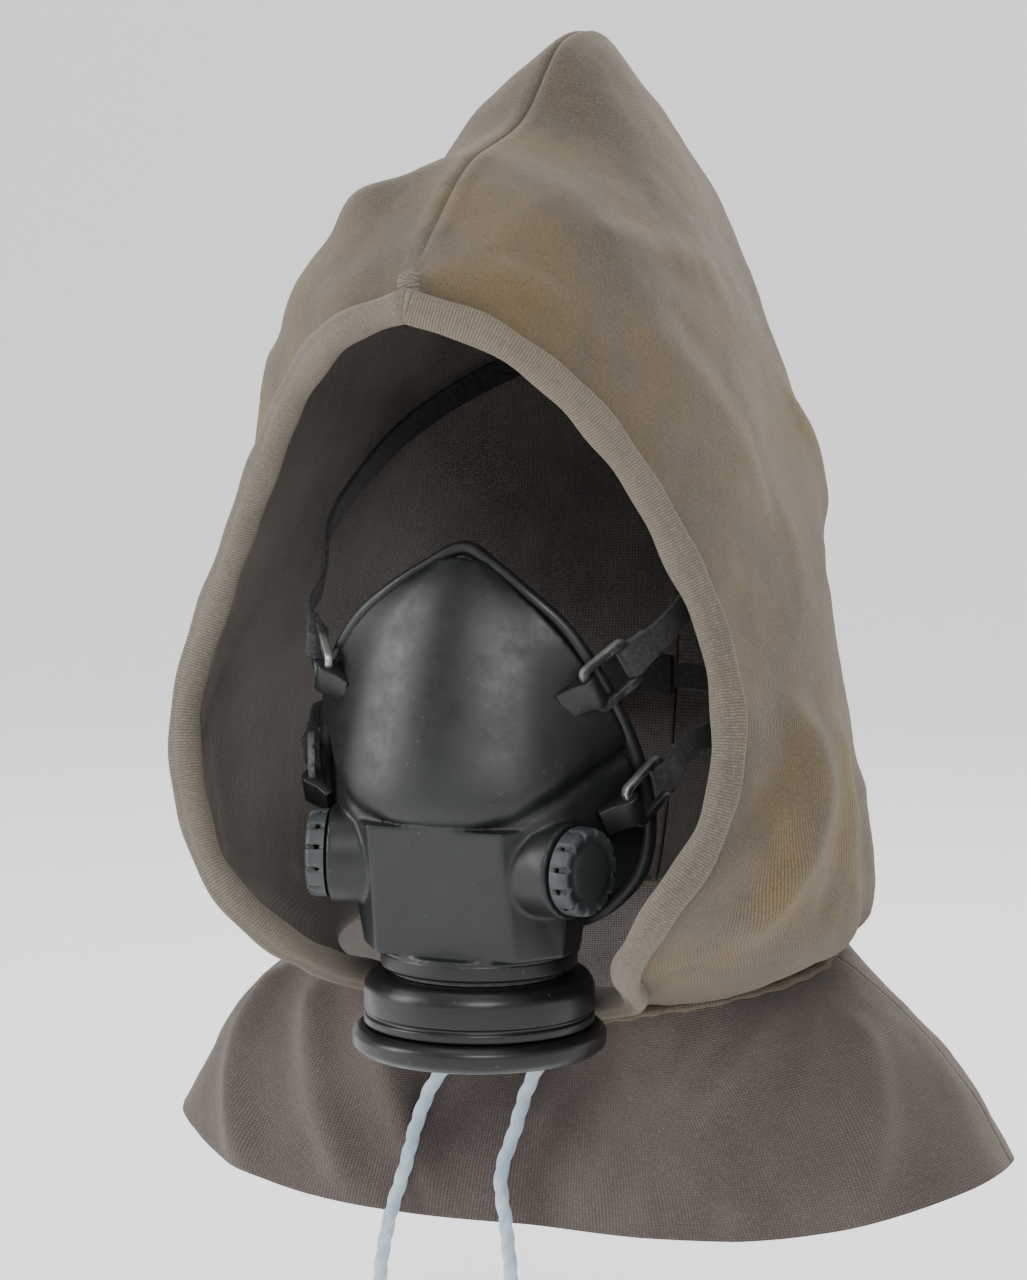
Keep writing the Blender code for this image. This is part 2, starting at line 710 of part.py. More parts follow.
def wrap_outline(solid):
    """Side view of a strip round a bar; one that isn't solid is a U with its tails together."""
    arc = [math.radians(90 + 180 * s / 6) for s in range(7)]
    outside = [(WRAP_LENGTH, 2.0), (5.0, 2.2)]
    outside += [(WRAP_OUTER * math.cos(t), WRAP_OUTER * math.sin(t)) for t in arc]
    outside += [(5.0, -2.2), (WRAP_LENGTH, -2.0)]
    if solid:
        return outside
    inside = [(WRAP_LENGTH, -0.2), (4.4, -0.2)]
    inside += [(WRAP_BORE * math.cos(t), WRAP_BORE * math.sin(t)) for t in reversed(arc)]
    inside += [(4.4, 0.2), (WRAP_LENGTH, 0.2)]
    return outside + inside


def add_wrap(name, bar, tail, across, look, solid=False):
    """A strip folded round a bar, its tails leading off along the tail direction."""
    outline = wrap_outline(solid)
    out = across.cross(tail)
    count = len(outline)
    verts = []
    for level in (WRAP_WIDTH / 2, -WRAP_WIDTH / 2):
        verts += [bar + tail * u + out * v + across * level for u, v in outline]
    faces = [tuple(range(count)), tuple(range(count, 2 * count))]
    for i in range(count):
        j = (i + 1) % count
        faces.append((i, j, count + j, count + i))
    return add_object(name, verts, faces, look, bar)


def add_lug_and_loop(height, side, space):
    middle, along, across, out = buckle_frame(height, side)
    name = "%s_%s" % (height, SIDE_NAMES[side])
    near, far = middle - along * BAR_REACH, middle + along * BAR_REACH
    tail = -along * math.cos(LUG_DIP) - out * math.sin(LUG_DIP)
    lug = add_wrap("lug_" + name, near, tail, across, LOOKS["rubber"], solid=True)
    cut(lug, add_cutter_rod("lug_bore_" + name, near - across * 9, across, WRAP_BORE, 18, 12))
    cut(lug, space)
    add_wrap("strap_loop_" + name, far, along, across, LOOKS["strap"])


def add_strap(height, side):
    middle, along, across, out = buckle_frame(height, side)
    start = middle + along * (BAR_REACH + WRAP_LENGTH + STRAP_GAP)
    route = [start, start + along * 4] + [sided(p, side) for p in STRAP_ROUTES[height]]
    path = smooth_path(route)
    count = int(path_length(path) / 11) + 1
    path = evenly(path, count)
    verts = []
    for i, point in enumerate(path):
        ahead = (path[min(i + 1, count - 1)] - path[max(i - 1, 0)]).normalized()
        radial = Vector((point.x, point.y, 0)).normalized() if i > 1 else out
        face = (radial - ahead * radial.dot(ahead)).normalized()
        wide = ahead.cross(face)
        for u, v in ((1, 1), (-1, 1), (-1, -1), (1, -1)):
            verts.append(point + wide * (u * STRAP_WIDTH / 2) + face * (v * STRAP_THICK / 2))
    faces = [(3, 2, 1, 0), tuple(len(verts) - 4 + i for i in range(4))]
    for i in range(count - 1):
        for s in range(4):
            t = (s + 1) % 4
            faces.append((i * 4 + s, i * 4 + t, i * 4 + 4 + t, i * 4 + 4 + s))
    add_object("strap_%s_%s" % (height, SIDE_NAMES[side]), verts, faces, LOOKS["strap"])


def add_curved_plate(name, centre, half_width, half_height, radius, thick, look):
    """A plate bent round an upright axis, for the back of the head."""
    columns, rows = 9, 3
    grids = []
    for reach in (radius, radius - thick):
        grid = []
        for r in range(rows):
            z = centre.z + half_height * (1 - 2 * r / (rows - 1))
            line = []
            for c in range(columns):
                turn = (half_width / radius) * (2 * c / (columns - 1) - 1)
                line.append(Vector((reach * math.sin(turn),
                                    centre.y - radius + reach * math.cos(turn), z)))
            grid.append(line)
        grids.append(grid)
    add_shell(name, grids[0], grids[1], look)


def add_harness(space):
    for height in BUCKLES:
        for side in (1, -1):
            add_buckle(height, side)
            add_lug_and_loop(height, side, space)
            add_strap(height, side)
    add_curved_plate("head_cradle", Vector((0, 88.5, 60)), 19.5, 11, 70, 2.4, LOOKS["plastic"])
    add_curved_plate("neck_clasp", Vector((0, 70.0, -60)), 13.6, 7, 60, 2.4, LOOKS["plastic"])


# ---------------------------------------------------------------- the whole object

LOOKS = {}


def make_looks():
    LOOKS["cloth"] = material("knit_cloth", (0.22, 0.185, 0.14), 0.9)
    LOOKS["hem"] = material("hem_cloth", (0.28, 0.255, 0.225), 0.9)
    LOOKS["cord"] = material("twisted_cord", (0.52, 0.62, 0.68), 0.8)
    LOOKS["steel"] = material("eyelet_steel", (0.5, 0.5, 0.5), 0.35, 1.0)
    LOOKS["rubber"] = material("moulded_rubber", (0.018, 0.022, 0.024), 0.4)
    LOOKS["cover"] = material("valve_cover_plastic", (0.03, 0.036, 0.038), 0.55)
    LOOKS["valve"] = material("valve_rubber", (0.12, 0.12, 0.12), 0.5)
    LOOKS["canister"] = material("canister_plastic", (0.015, 0.017, 0.018), 0.35)
    LOOKS["filter"] = material("filter_pad", (0.7, 0.7, 0.66), 0.9)
    LOOKS["carbon"] = material("carbon_grain", (0.02, 0.02, 0.02), 0.8)
    LOOKS["plastic"] = material("harness_plastic", (0.02, 0.02, 0.02), 0.5)
    LOOKS["buckle"] = material("buckle_metal", (0.3, 0.3, 0.3), 0.35, 1.0)
    LOOKS["strap"] = material("strap_webbing", (0.02, 0.02, 0.022), 0.8)


def main():
    clear_scene()
    make_looks()
    add_hood_panels()
    add_face_hem()
    add_neck_seam()
    add_bib()
    for side in ("left", "right"):
        add_drawstring(side)
        add_knot(side)
        add_eyelet(side)
    space = add_mask_body_cutter(add_facepiece_shell())
    add_face_seal()
    add_front_housing(space)
    add_neck()
    add_inhale_valve()
    add_canister()
    for side in (1, -1):
        add_exhale_valve(side, space)
    add_harness(space)


main()
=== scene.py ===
"""The looks of the knitted hood and its rubber half mask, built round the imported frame.

The wearer faces -Y. Lengths are in millimetres, and MM turns them into metres when a mesh
or a node is made.
"""
import math

import bmesh
import bpy
import numpy as np
from mathutils import Matrix, Vector, noise
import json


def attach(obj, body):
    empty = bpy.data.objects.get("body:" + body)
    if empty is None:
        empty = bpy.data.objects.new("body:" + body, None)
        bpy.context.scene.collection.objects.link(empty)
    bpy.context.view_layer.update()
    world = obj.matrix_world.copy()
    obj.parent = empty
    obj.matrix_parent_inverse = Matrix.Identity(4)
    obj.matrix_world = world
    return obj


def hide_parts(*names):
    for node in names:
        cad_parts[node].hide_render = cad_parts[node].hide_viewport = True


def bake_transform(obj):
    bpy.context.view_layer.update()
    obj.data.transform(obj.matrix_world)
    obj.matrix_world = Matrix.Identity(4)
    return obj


MM = 0.001
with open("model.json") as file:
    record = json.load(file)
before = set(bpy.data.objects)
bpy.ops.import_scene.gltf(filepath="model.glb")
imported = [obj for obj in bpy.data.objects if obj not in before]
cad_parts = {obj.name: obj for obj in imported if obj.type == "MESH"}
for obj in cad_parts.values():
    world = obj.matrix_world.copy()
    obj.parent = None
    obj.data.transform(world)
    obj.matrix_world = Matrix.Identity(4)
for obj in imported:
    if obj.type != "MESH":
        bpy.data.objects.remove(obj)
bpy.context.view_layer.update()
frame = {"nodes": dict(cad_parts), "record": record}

# ------------------------------------------------------------------ sizes, as in the CAD

CLOTH = 2.2
HEM_RADIUS = 5.0
FOLD_DEPTH = 1.5
HOOD_ROWS = 190
HOOD_COLUMNS = 120
BIB_ROWS = 60
BIB_COLUMNS = 91
CANISTER_Y = -85.0
SIDE_NAMES = {1: "right", -1: "left"}

HEM_RAIL = [(0, -145.5, 87), (26, -138, 78), (48, -124, 58.5), (65, -112, 33), (79, -105, 5),
            (90, -103, -21), (97, -109, -52), (93, -115, -82), (78, -123, -109),
            (61, -107, -132), (47.5, -66, -150.5), (0, -24, -165)]
FRONT_RAIL = [(3, -142, 93), (29, -130, 92), (57, -106, 86), (73, -84, 68), (85, -65, 42),
              (92, -55, 12), (102, -62, -28), (106, -72, -58), (107, -88, -86),
              (108, -70, -113), (103, -48, -137), (65, -35.5, -156)]
BACK_RAIL = [(2, -141, 95), (16, -126, 105), (36, -98, 119), (52, -64, 112), (59, -28, 106),
             (50, 20, 104), (63, 38, 62), (76, 36, 6), (86, 34, -52), (93, 34, -95),
             (91, 38, -126), (87, 38, -146)]
CREST_RAIL = [(0, -140, 96), (0, -121, 113), (0, -93, 131.5), (0, -47, 144), (0, -7, 171),
              (0, 39, 165), (0, 88, 108), (0, 109, 28), (0, 112, -50), (0, 104, -103),
              (0, 96, -127), (0, 90, -141)]
CREST_TURN = [3, 14, 26, 26, 20, 22, 70, 110, 125, 130, 125, 120]
NECK_HALF = [(0, -17, -172), (24, -28.5, -166.5), (45, -36.5, -160.5), (65, -35.5, -156),
             (85, -18, -151.5), (92.5, 8, -149), (87, 38, -146), (54, 74, -143), (0, 90, -141)]
BIB_MIDDLE = [(0, -30, -200), (30, -33, -200), (62, -38, -196), (95, -32, -184),
              (122, -8, -176), (127, 16, -174), (112, 52, -180), (62, 84, -192), (0, 97, -196)]
BIB_HEM = [(0, -40, -240), (46, -41.5, -240), (92, -40.5, -236), (128, -28, -228),
           (152, -4, -220), (156, 24, -218), (138, 62, -224), (82, 94, -234), (0, 104, -239)]

MASK_MIDDLE = [(0, -100.5, 0), (0, -108, -10), (0, -115, -25), (0, -122, -50),
               (0, -127.5, -78), (0, -118, -92), (0, -103, -108), (0, -91, -119),
               (0, -80, -124)]
MASK_BULGE = [(4, -100.5, -0.5), (13, -106, -11), (20, -111, -27), (27, -115, -52),
              (30, -119, -80), (32, -110, -94), (28, -98, -108), (23, -86, -117),
              (11, -78, -122.5)]
MASK_EDGE = [(0, -97, 4), (12, -99, -2), (24, -101, -10), (36, -100, -20), (44, -98, -31),
             (51.5, -91, -48), (56, -84, -65), (58, -78, -84), (53, -74, -106),
             (40, -73, -119), (20, -72, -126), (0, -71, -127.5)]
MASK_SIDE = [(8, -99.5, -2.5), (23, -102, -12), (38, -100.5, -26), (50, -91.5, -49),
             (56.5, -80, -79), (56, -77.5, -94), (49, -75, -109), (37, -74.5, -117.5),
             (18, -74, -123)]

VALVE_FACE = Vector((51.0, -111.0, -99.0))
VALVE_LEAN = math.radians(16.0)

BUCKLE_LENGTH = 21.0
BUCKLE_WIDTH = 17.5
BUCKLE_BAR = 3.0
BUCKLE_THICK = 2.6
BAR_REACH = (BUCKLE_LENGTH - BUCKLE_BAR) / 2
WRAP_LENGTH = 9.0
WRAP_WIDTH = 10.2
WRAP_OUTER = 3.7
LUG_DIP = math.radians(32)
STRAP_GAP = 1.7
BUCKLES = {
    "upper": (Vector((52, -97.3, -35.4)), Vector((0.50, 0.675, 0.54)), Vector((0.80, -0.59, -0.01))),
    "lower": (Vector((60.6, -85.4, -75)), Vector((0.35, 0.75, 0.56)), Vector((0.93, -0.37, -0.09))),
}
STRAP_ROUTES = {
    "upper": [(67, -63, -14), (74, -42, 1), (74, -10, 18), (69, 18, 32), (54, 44, 46),
              (38, 66, 55), (20.5, 83.5, 60)],
    "lower": [(69.5, -50, -61), (73, -20, -60), (70, 15, -60), (58, 42, -60), (36, 60, -60),
              (14.5, 67.5, -60)],
}
CORD_RADIUS = 2.5
CORD_ROUTES = {
    "left": [(-12, -33.2, -171.2), (-17, -36.5, -175.5), (-27, -39, -182), (-35, -40, -191),
             (-41, -41.5, -205), (-45, -44, -222), (-49.5, -47.5, -240), (-52, -50, -258),
             (-51, -51.5, -285), (-49, -52, -312), (-49, -52, -334)],
    "right": [(12, -33.2, -171.2), (10.5, -36.5, -175.5), (4, -38, -182), (-1, -38.8, -192),
              (-5, -40, -206), (-9, -43.4, -222), (-5.5, -47.2, -240), (-2.5, -50, -258),
              (-2, -51.5, -285), (-3, -52, -312), (-4, -52, -336)],
}

# ------------------------------------------------------------------ camera and lights

VIEW_TURN = math.radians(22)
VIEW_LIFT = math.radians(8)
VIEW_DISTANCE = 1600.0
VIEW_TARGET = Vector((-11.8, -25, -36.5))
FRAME_HEIGHT = 444.0
FLOOR_LEVEL = -420.0


def add_camera():
    away = Vector((math.sin(VIEW_TURN) * math.cos(VIEW_LIFT),
                   -math.cos(VIEW_TURN) * math.cos(VIEW_LIFT), math.sin(VIEW_LIFT)))
    data = bpy.data.cameras.new("camera")
    data.sensor_fit = "VERTICAL"
    data.sensor_height = 36
    data.lens = 36 * VIEW_DISTANCE / FRAME_HEIGHT
    data.clip_end = 50
    camera = bpy.data.objects.new("camera", data)
    camera.location = (VIEW_TARGET + away * VIEW_DISTANCE) * MM
    camera.rotation_euler = (-away).to_track_quat("-Z", "Y").to_euler()
    bpy.context.scene.collection.objects.link(camera)
    bpy.context.scene.camera = camera


def add_light(name, place, size, power, colour=(1, 1, 1)):
    data = bpy.data.lights.new(name, "AREA")
    data.shape = "RECTANGLE"
    data.size, data.size_y = size
    data.energy = power
    data.color = colour
    lamp = bpy.data.objects.new(name, data)
    lamp.location = Vector(place) * MM
    aim = Vector((0, -40, -60)) * MM - lamp.location
    lamp.rotation_euler = aim.to_track_quat("-Z", "Y").to_euler()
    bpy.context.scene.collection.objects.link(lamp)


def add_stage():
    add_light("key_light", (700, -1600, 900), (0.8, 0.8), 24)
    add_light("left_light", (-1500, -900, 500), (0.7, 1.2), 26)
    add_light("back_light", (-300, 1500, 900), (1.2, 0.8), 16)
    add_light("top_light", (0, -200, 1700), (1.2, 1.2), 10)
    world = bpy.data.worlds.new("pale_room")
    world.use_nodes = True
    world.node_tree.nodes["Background"].inputs["Color"].default_value = (0.97, 0.975, 0.98, 1)
    world.node_tree.nodes["Background"].inputs["Strength"].default_value = 0.62
    bpy.context.scene.world = world
    add_floor()


def add_floor():
    """A pale floor that sweeps up into a backdrop far behind the hood."""
    bend, radius = 2600.0, 1800.0
    profile = [(-7000.0, 0.0), (bend, 0.0)]
    for step in range(1, 17):
        turn = math.radians(90 * step / 16)
        profile.append((bend + radius * math.sin(turn), radius * (1 - math.cos(turn))))
    profile.append((bend + radius, 7000.0))
    verts = [(x, y, FLOOR_LEVEL + z) for x in (-9000, 9000) for y, z in profile]
    count = len(profile)
    faces = [(i, count + i, count + i + 1, i + 1) for i in range(count - 1)]
    paint = bpy.data.materials.new("floor_paint")
    paint.use_nodes = True
    shader = paint.node_tree.nodes["Principled BSDF"]
    shader.inputs["Base Color"].default_value = (0.9, 0.9, 0.9, 1)
    shader.inputs["Roughness"].default_value = 0.8
    shader.inputs["Emission Color"].default_value = (1, 1, 1, 1)
    shader.inputs["Emission Strength"].default_value = 0.45
    finish_mesh("floor", verts, faces, paint)


# ------------------------------------------------------------------ curves through points

def sided(point, side):
    return Vector((point[0] * side, point[1], point[2]))


def hermite(a, b, slope_a, slope_b, length, t):
    t2, t3 = t * t, t * t * t
    start = a * (2 * t3 - 3 * t2 + 1) + slope_a * (length * (t3 - 2 * t2 + t))
    return start + b * (3 * t2 - 2 * t3) + slope_b * (length * (t3 - t2))


def smooth_slopes(points, lengths, closed):
    count = len(points)
    slopes = []
    for i, point in enumerate(points):
        before = (point - points[i - 1]) / lengths[i - 1] if i or closed else None
        after = (points[(i + 1) % count] - point) / lengths[i] if i < count - 1 or closed else None
        if before is None or after is None:
            slopes.append(after if before is None else before)
        else:
            ahead, behind = lengths[i], lengths[i - 1]
            slopes.append((before * ahead + after * behind) / (ahead + behind))
    return slopes


def smooth_path(points, steps=12, closed=False, last_slope=None):
    points = [Vector(p) for p in points]
    count = len(points)
    spans = count if closed else count - 1
    lengths = [max((points[(i + 1) % count] - points[i]).length, 1e-6) for i in range(count)]
    slopes = smooth_slopes(points, lengths, closed)
    if last_slope is not None:
        slopes[-1] = last_slope / lengths[count - 2]
    path = []
    for i in range(spans):
        j = (i + 1) % count
        for step in range(steps):
            t = step / steps
            path.append(hermite(points[i], points[j], slopes[i], slopes[j], lengths[i], t))
    if not closed:
        path.append(points[-1].copy())
    return path


def path_length(path):
    return sum((b - a).length for a, b in zip(path, path[1:]))


def evenly(path, count, trim_start=0.0, trim_end=0.0):
    steps = np.cumsum([0.0] + [(b - a).length for a, b in zip(path, path[1:])])
    wanted = np.linspace(trim_start, steps[-1] - trim_end, count)
    flat = np.array(path)
    coords = [np.interp(wanted, steps, flat[:, axis]) for axis in range(3)]
    return [Vector(p) for p in zip(*coords)]


def rail_at(rail, position):
    keys = [Vector(p) for p in rail]
    i = min(int(position), len(keys) - 2)
    t = position - i
    before = keys[i - 1] if i else keys[0] * 2 - keys[1]
    after = keys[i + 2] if i + 2 < len(keys) else keys[-1] * 2 - keys[-2]
    return hermite(keys[i], keys[i + 1], (keys[i + 1] - before) / 2, (after - keys[i]) / 2,
                   1.0, t)


# ------------------------------------------------------------------ meshes

def grid_array(lines):
    return np.array([[tuple(p) for p in line] for line in lines], float)


def grid_normals(grid):
    down = np.gradient(grid, axis=0)
    along = np.gradient(grid, axis=1)
    normals = np.cross(down, along)
    length = np.linalg.norm(normals, axis=2, keepdims=True)
    return normals / np.maximum(length, 1e-9)


def shell_faces(rows, columns):
    """Outer faces, inner faces and rim of a shell whose inner points follow its outer ones."""
    corners = [r * columns + c for r in range(rows - 1) for c in range(columns - 1)]
    faces = [(a, a + 1, a + columns + 1, a + columns) for a in corners]
    count = rows * columns
    faces += [tuple(count + v for v in reversed(face)) for face in faces]
    rim = list(range(columns)) + [r * columns + columns - 1 for r in range(1, rows)]
    rim += [(rows - 1) * columns + c for c in range(columns - 2, -1, -1)]
    rim += [r * columns for r in range(rows - 2, 0, -1)]
    for a, b in zip(rim, rim[1:] + rim[:1]):
        faces.append((a, count + a, count + b, b))
    return faces


def loft_faces(count, rings, closed=False):
    """Faces between rings of count points: end caps unless the rings close on themselves."""
    ends = [0, (rings - 1) * count]
    faces = [] if closed else [tuple(range(first, first + count)) for first in ends]
    for ring in range(rings if closed else rings - 1):
        a, b = ring * count, (ring + 1) % rings * count
        for i in range(count):
            j = (i + 1) % count
            faces.append((a + i, a + j, b + j, b + i))
    return faces


def finish_mesh(name, verts, faces, look, uvs=None, crease=40, second_look=None, second=None):
    """An object from millimetre points. The face indices in second take the second look."""
    mesh = bpy.data.meshes.new(name)
    mesh.from_pydata([tuple(c * MM for c in v) for v in verts], [], faces)
    made = bpy.data.objects.new(name, mesh)
    bpy.context.scene.collection.objects.link(made)
    mesh.materials.append(look)
    if second_look:
        mesh.materials.append(second_look)
        marks = np.zeros(len(faces), np.int32)
        marks[list(second)] = 1
        mesh.polygons.foreach_set("material_index", marks)
    if uvs is not None:
        layer = mesh.uv_layers.new(name="UVMap")
        corner = np.zeros(len(mesh.loops), np.int32)
        mesh.loops.foreach_get("vertex_index", corner)
        layer.data.foreach_set("uv", np.asarray(uvs, np.float32)[corner].ravel())
    work = bmesh.new()
    work.from_mesh(mesh)
    bmesh.ops.recalc_face_normals(work, faces=work.faces)
    work.to_mesh(mesh)
    work.free()
    mesh.shade_smooth()
    if crease:
        mesh.set_sharp_from_angle(angle=math.radians(crease))
    return made


def cloth_shell(name, outer, thickness, look, lining, crease=0):
    """A cloth panel with both its faces and its cut edges. UVs run in centimetres of cloth."""
    rows, columns = outer.shape[:2]
    inner = outer - grid_normals(outer) * thickness
    across = np.cumsum(np.pad(np.linalg.norm(np.diff(outer, axis=1), axis=2), ((0, 0), (1, 0))),
                       axis=1)
    down = np.cumsum(np.pad(np.linalg.norm(np.diff(outer, axis=0), axis=2), ((1, 0), (0, 0))),
                     axis=0)
    middle = across[rows // 2]
    side_length = down[:, columns // 3]
    uv = np.stack(np.meshgrid(middle, side_length), axis=2).reshape(-1, 2) / 10
    faces = shell_faces(rows, columns)
    lined = range((rows - 1) * (columns - 1), 2 * (rows - 1) * (columns - 1))
    verts = np.concatenate([outer.reshape(-1, 3), inner.reshape(-1, 3)])
    return finish_mesh(name, verts, faces, look, np.concatenate([uv, uv]), crease, lining, lined)


def swept_tube(name, path, sides, section, look, closed=False):
    """A tube along a path. section(share, run, turn) gives its reach outward and across."""
    count = len(path)
    verts, uvs = [], []
    run = 0.0
    previous = None
    centre = sum(path, Vector()) / count
    for i, point in enumerate(path):
        if closed:
            along = (path[(i + 1) % count] - path[i - 1]).normalized()
        else:
            along = (path[min(i + 1, count - 1)] - path[max(i - 1, 0)]).normalized()
        outward = point - centre if closed else previous or Vector((0.1, -1, 0.2))
        outward = (outward - along * outward.dot(along)).normalized()
        previous = outward
        across = along.cross(outward)
        if i:
            run += (point - path[i - 1]).length
        for s in range(sides):
            turn = 2 * math.pi * s / sides
            a, b = section(i / count, run, turn)
            verts.append(point + outward * a + across * b)
            uvs.append((run / 10, s / sides))
    return finish_mesh(name, verts, loft_faces(sides, count, closed), look, uvs, 0)


def turned(name, profile, origin, axis, look, segments=96, reach=None, crease=35):
    """A turned body from a closed outline of (radius, height); reach may vary the radius."""
    turn_up = Vector((0, 0, 1)).rotation_difference(Vector(axis).normalized())
    place = Matrix.Translation(Vector(origin)) @ turn_up.to_matrix().to_4x4()
    verts, rings = [], []
    for index, (radius, height) in enumerate(profile):
        if radius == 0:
            rings.append([len(verts)])
            verts.append(place @ Vector((0, 0, height)))
            continue
        ring = []
        for s in range(segments):
            turn = 2 * math.pi * s / segments
            out = reach(index, turn, radius) if reach else radius
            ring.append(len(verts))
            verts.append(place @ Vector((out * math.cos(turn), out * math.sin(turn), height)))
        rings.append(ring)
    faces = []
    for a, b in zip(rings, rings[1:] + rings[:1]):
        if len(a) == 1 and len(b) == 1:
            continue
        for s in range(segments):
            t = (s + 1) % segments
            corners = [a[s % len(a)], a[t % len(a)], b[t % len(b)], b[s % len(b)]]
            faces.append(tuple(dict.fromkeys(corners)))
    return finish_mesh(name, verts, faces, look, None, crease)


def rounded(outline, radius, steps=5):
    """A closed outline with its corners rounded off."""
    corners = [Vector(p) for p in outline]
    count = len(corners)
    path = []
    for i, corner in enumerate(corners):
        back, ahead = corners[i - 1] - corner, corners[(i + 1) % count] - corner
        if corner.x == 0:
            path.append(tuple(corner))
            continue
        trim = min(radius, back.length * 0.45, ahead.length * 0.45)
        start, end = corner + back.normalized() * trim, corner + ahead.normalized() * trim
        for step in range(steps + 1):
            t = step / steps
            point = start.lerp(corner, t).lerp(corner.lerp(end, t), t)
            path.append((point.x, point.y))
    return path


def settle(made, width, segments=3):
    """Rounds an object's edges with a bevel and keeps the result."""
    bevel = made.modifiers.new("round", "BEVEL")
    bevel.width = width * MM
    bevel.segments = segments
    bevel.limit_method = "ANGLE"
    bevel.angle_limit = math.radians(30)
    bevel.harden_normals = False
    apply_all(made)


def apply_all(made):
    graph = bpy.context.evaluated_depsgraph_get()
    mesh = bpy.data.meshes.new_from_object(made.evaluated_get(graph))
    made.modifiers.clear()
    made.data = mesh


def fit(made, body, slot, *nodes):
    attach(made, body)
    if nodes:
        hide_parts(*nodes)
    return made


# ------------------------------------------------------------------ materials

class Look:
    """A node material: short helpers over one node tree."""

    def __init__(self, name):
        self.made = bpy.data.materials.new(name)
        self.made.use_nodes = True
        self.tree = self.made.node_tree
        self.shader = self.tree.nodes["Principled BSDF"]

    def node(self, kind, **settings):
        made = self.tree.nodes.new(kind)
        for key, value in settings.items():
            setattr(made, key, value)
        return made

    def link(self, a, b):
        self.tree.links.new(a, b)

    def value(self, **sockets):
        for key, value in sockets.items():
            name = key.replace("_", " ").title().replace("Ior", "IOR")
            self.shader.inputs[name].default_value = value

    def coordinates(self, scale=1.0, kind="Object", stretch=None):
        source = self.node("ShaderNodeTexCoord")
        mapping = self.node("ShaderNodeMapping")
        mapping.inputs["Scale"].default_value = stretch or (scale, scale, scale)
        self.link(source.outputs[kind], mapping.inputs["Vector"])
        return mapping.outputs["Vector"]

    def noise(self, scale, detail=4, rough=0.55, where=None, stretch=None):
        made = self.node("ShaderNodeTexNoise")
        made.inputs["Scale"].default_value = scale
        made.inputs["Detail"].default_value = detail
        made.inputs["Roughness"].default_value = rough
        self.link(where or self.coordinates(stretch=stretch), made.inputs["Vector"])
        return made.outputs["Fac"]

    def ramp(self, source, low, high, bottom=(0, 0, 0), top=(1, 1, 1)):
        made = self.node("ShaderNodeValToRGB")
        made.color_ramp.elements[0].position = low
        made.color_ramp.elements[1].position = high
        made.color_ramp.elements[0].color = (*bottom, 1)
        made.color_ramp.elements[1].color = (*top, 1)
        self.link(source, made.inputs["Fac"])
        return made.outputs["Color"]

    def mix(self, fac, a, b, blend="MIX"):
        made = self.node("ShaderNodeMix", data_type="RGBA", blend_type=blend)
        for socket, value in ((made.inputs["Factor"], fac), (made.inputs[6], a),
                              (made.inputs[7], b)):
            if isinstance(value, (tuple, float, int)):
                socket.default_value = (*value, 1) if isinstance(value, tuple) else value
            else:
                self.link(value, socket)
        return made.outputs[2]

    def maths(self, operation, a, b=0.0):
        made = self.node("ShaderNodeMath", operation=operation)
        for socket, value in zip(made.inputs, (a, b)):
            if isinstance(value, (int, float)):
                socket.default_value = value
            else:
                self.link(value, socket)
        return made.outputs[0]

    def bump(self, height, strength, distance, below=None):
        made = self.node("ShaderNodeBump")
        made.inputs["Strength"].default_value = strength
        made.inputs["Distance"].default_value = distance * MM
        self.link(height, made.inputs["Height"])
        if below:
            self.link(below, made.inputs["Normal"])
        return made.outputs["Normal"]

    def colour(self, source):
        self.link(source, self.shader.inputs["Base Color"])

    def rough(self, source):
        self.link(source, self.shader.inputs["Roughness"])

    def normal(self, source):
        self.link(source, self.shader.inputs["Normal"])


def knit_height(look, rib, stitch):
    """Height of rib knit: columns across U, and V-shaped stitches along V, in centimetres."""
    uv = look.node("ShaderNodeUVMap")
    uv.uv_map = "UVMap"
    wobble = look.noise(3.0, 2)
    parts = look.node("ShaderNodeSeparateXYZ")
    look.link(uv.outputs["UV"], parts.inputs[0])
    shifted = look.maths("ADD", parts.outputs[0], look.maths("MULTIPLY", wobble, 0.12))
    column = look.maths("MULTIPLY", shifted, 2 * math.pi / rib)
    ribs = look.maths("ABSOLUTE", look.maths("SINE", look.maths("MULTIPLY", column, 0.5)))
    if not stitch:
        return ribs
    slant = look.maths("MULTIPLY", ribs, 1.6)
    loops = look.maths("SINE", look.maths(
        "ADD", look.maths("MULTIPLY", parts.outputs[1], 2 * math.pi / stitch), slant))
    return look.maths("ADD", ribs, look.maths("MULTIPLY", loops, 0.35))


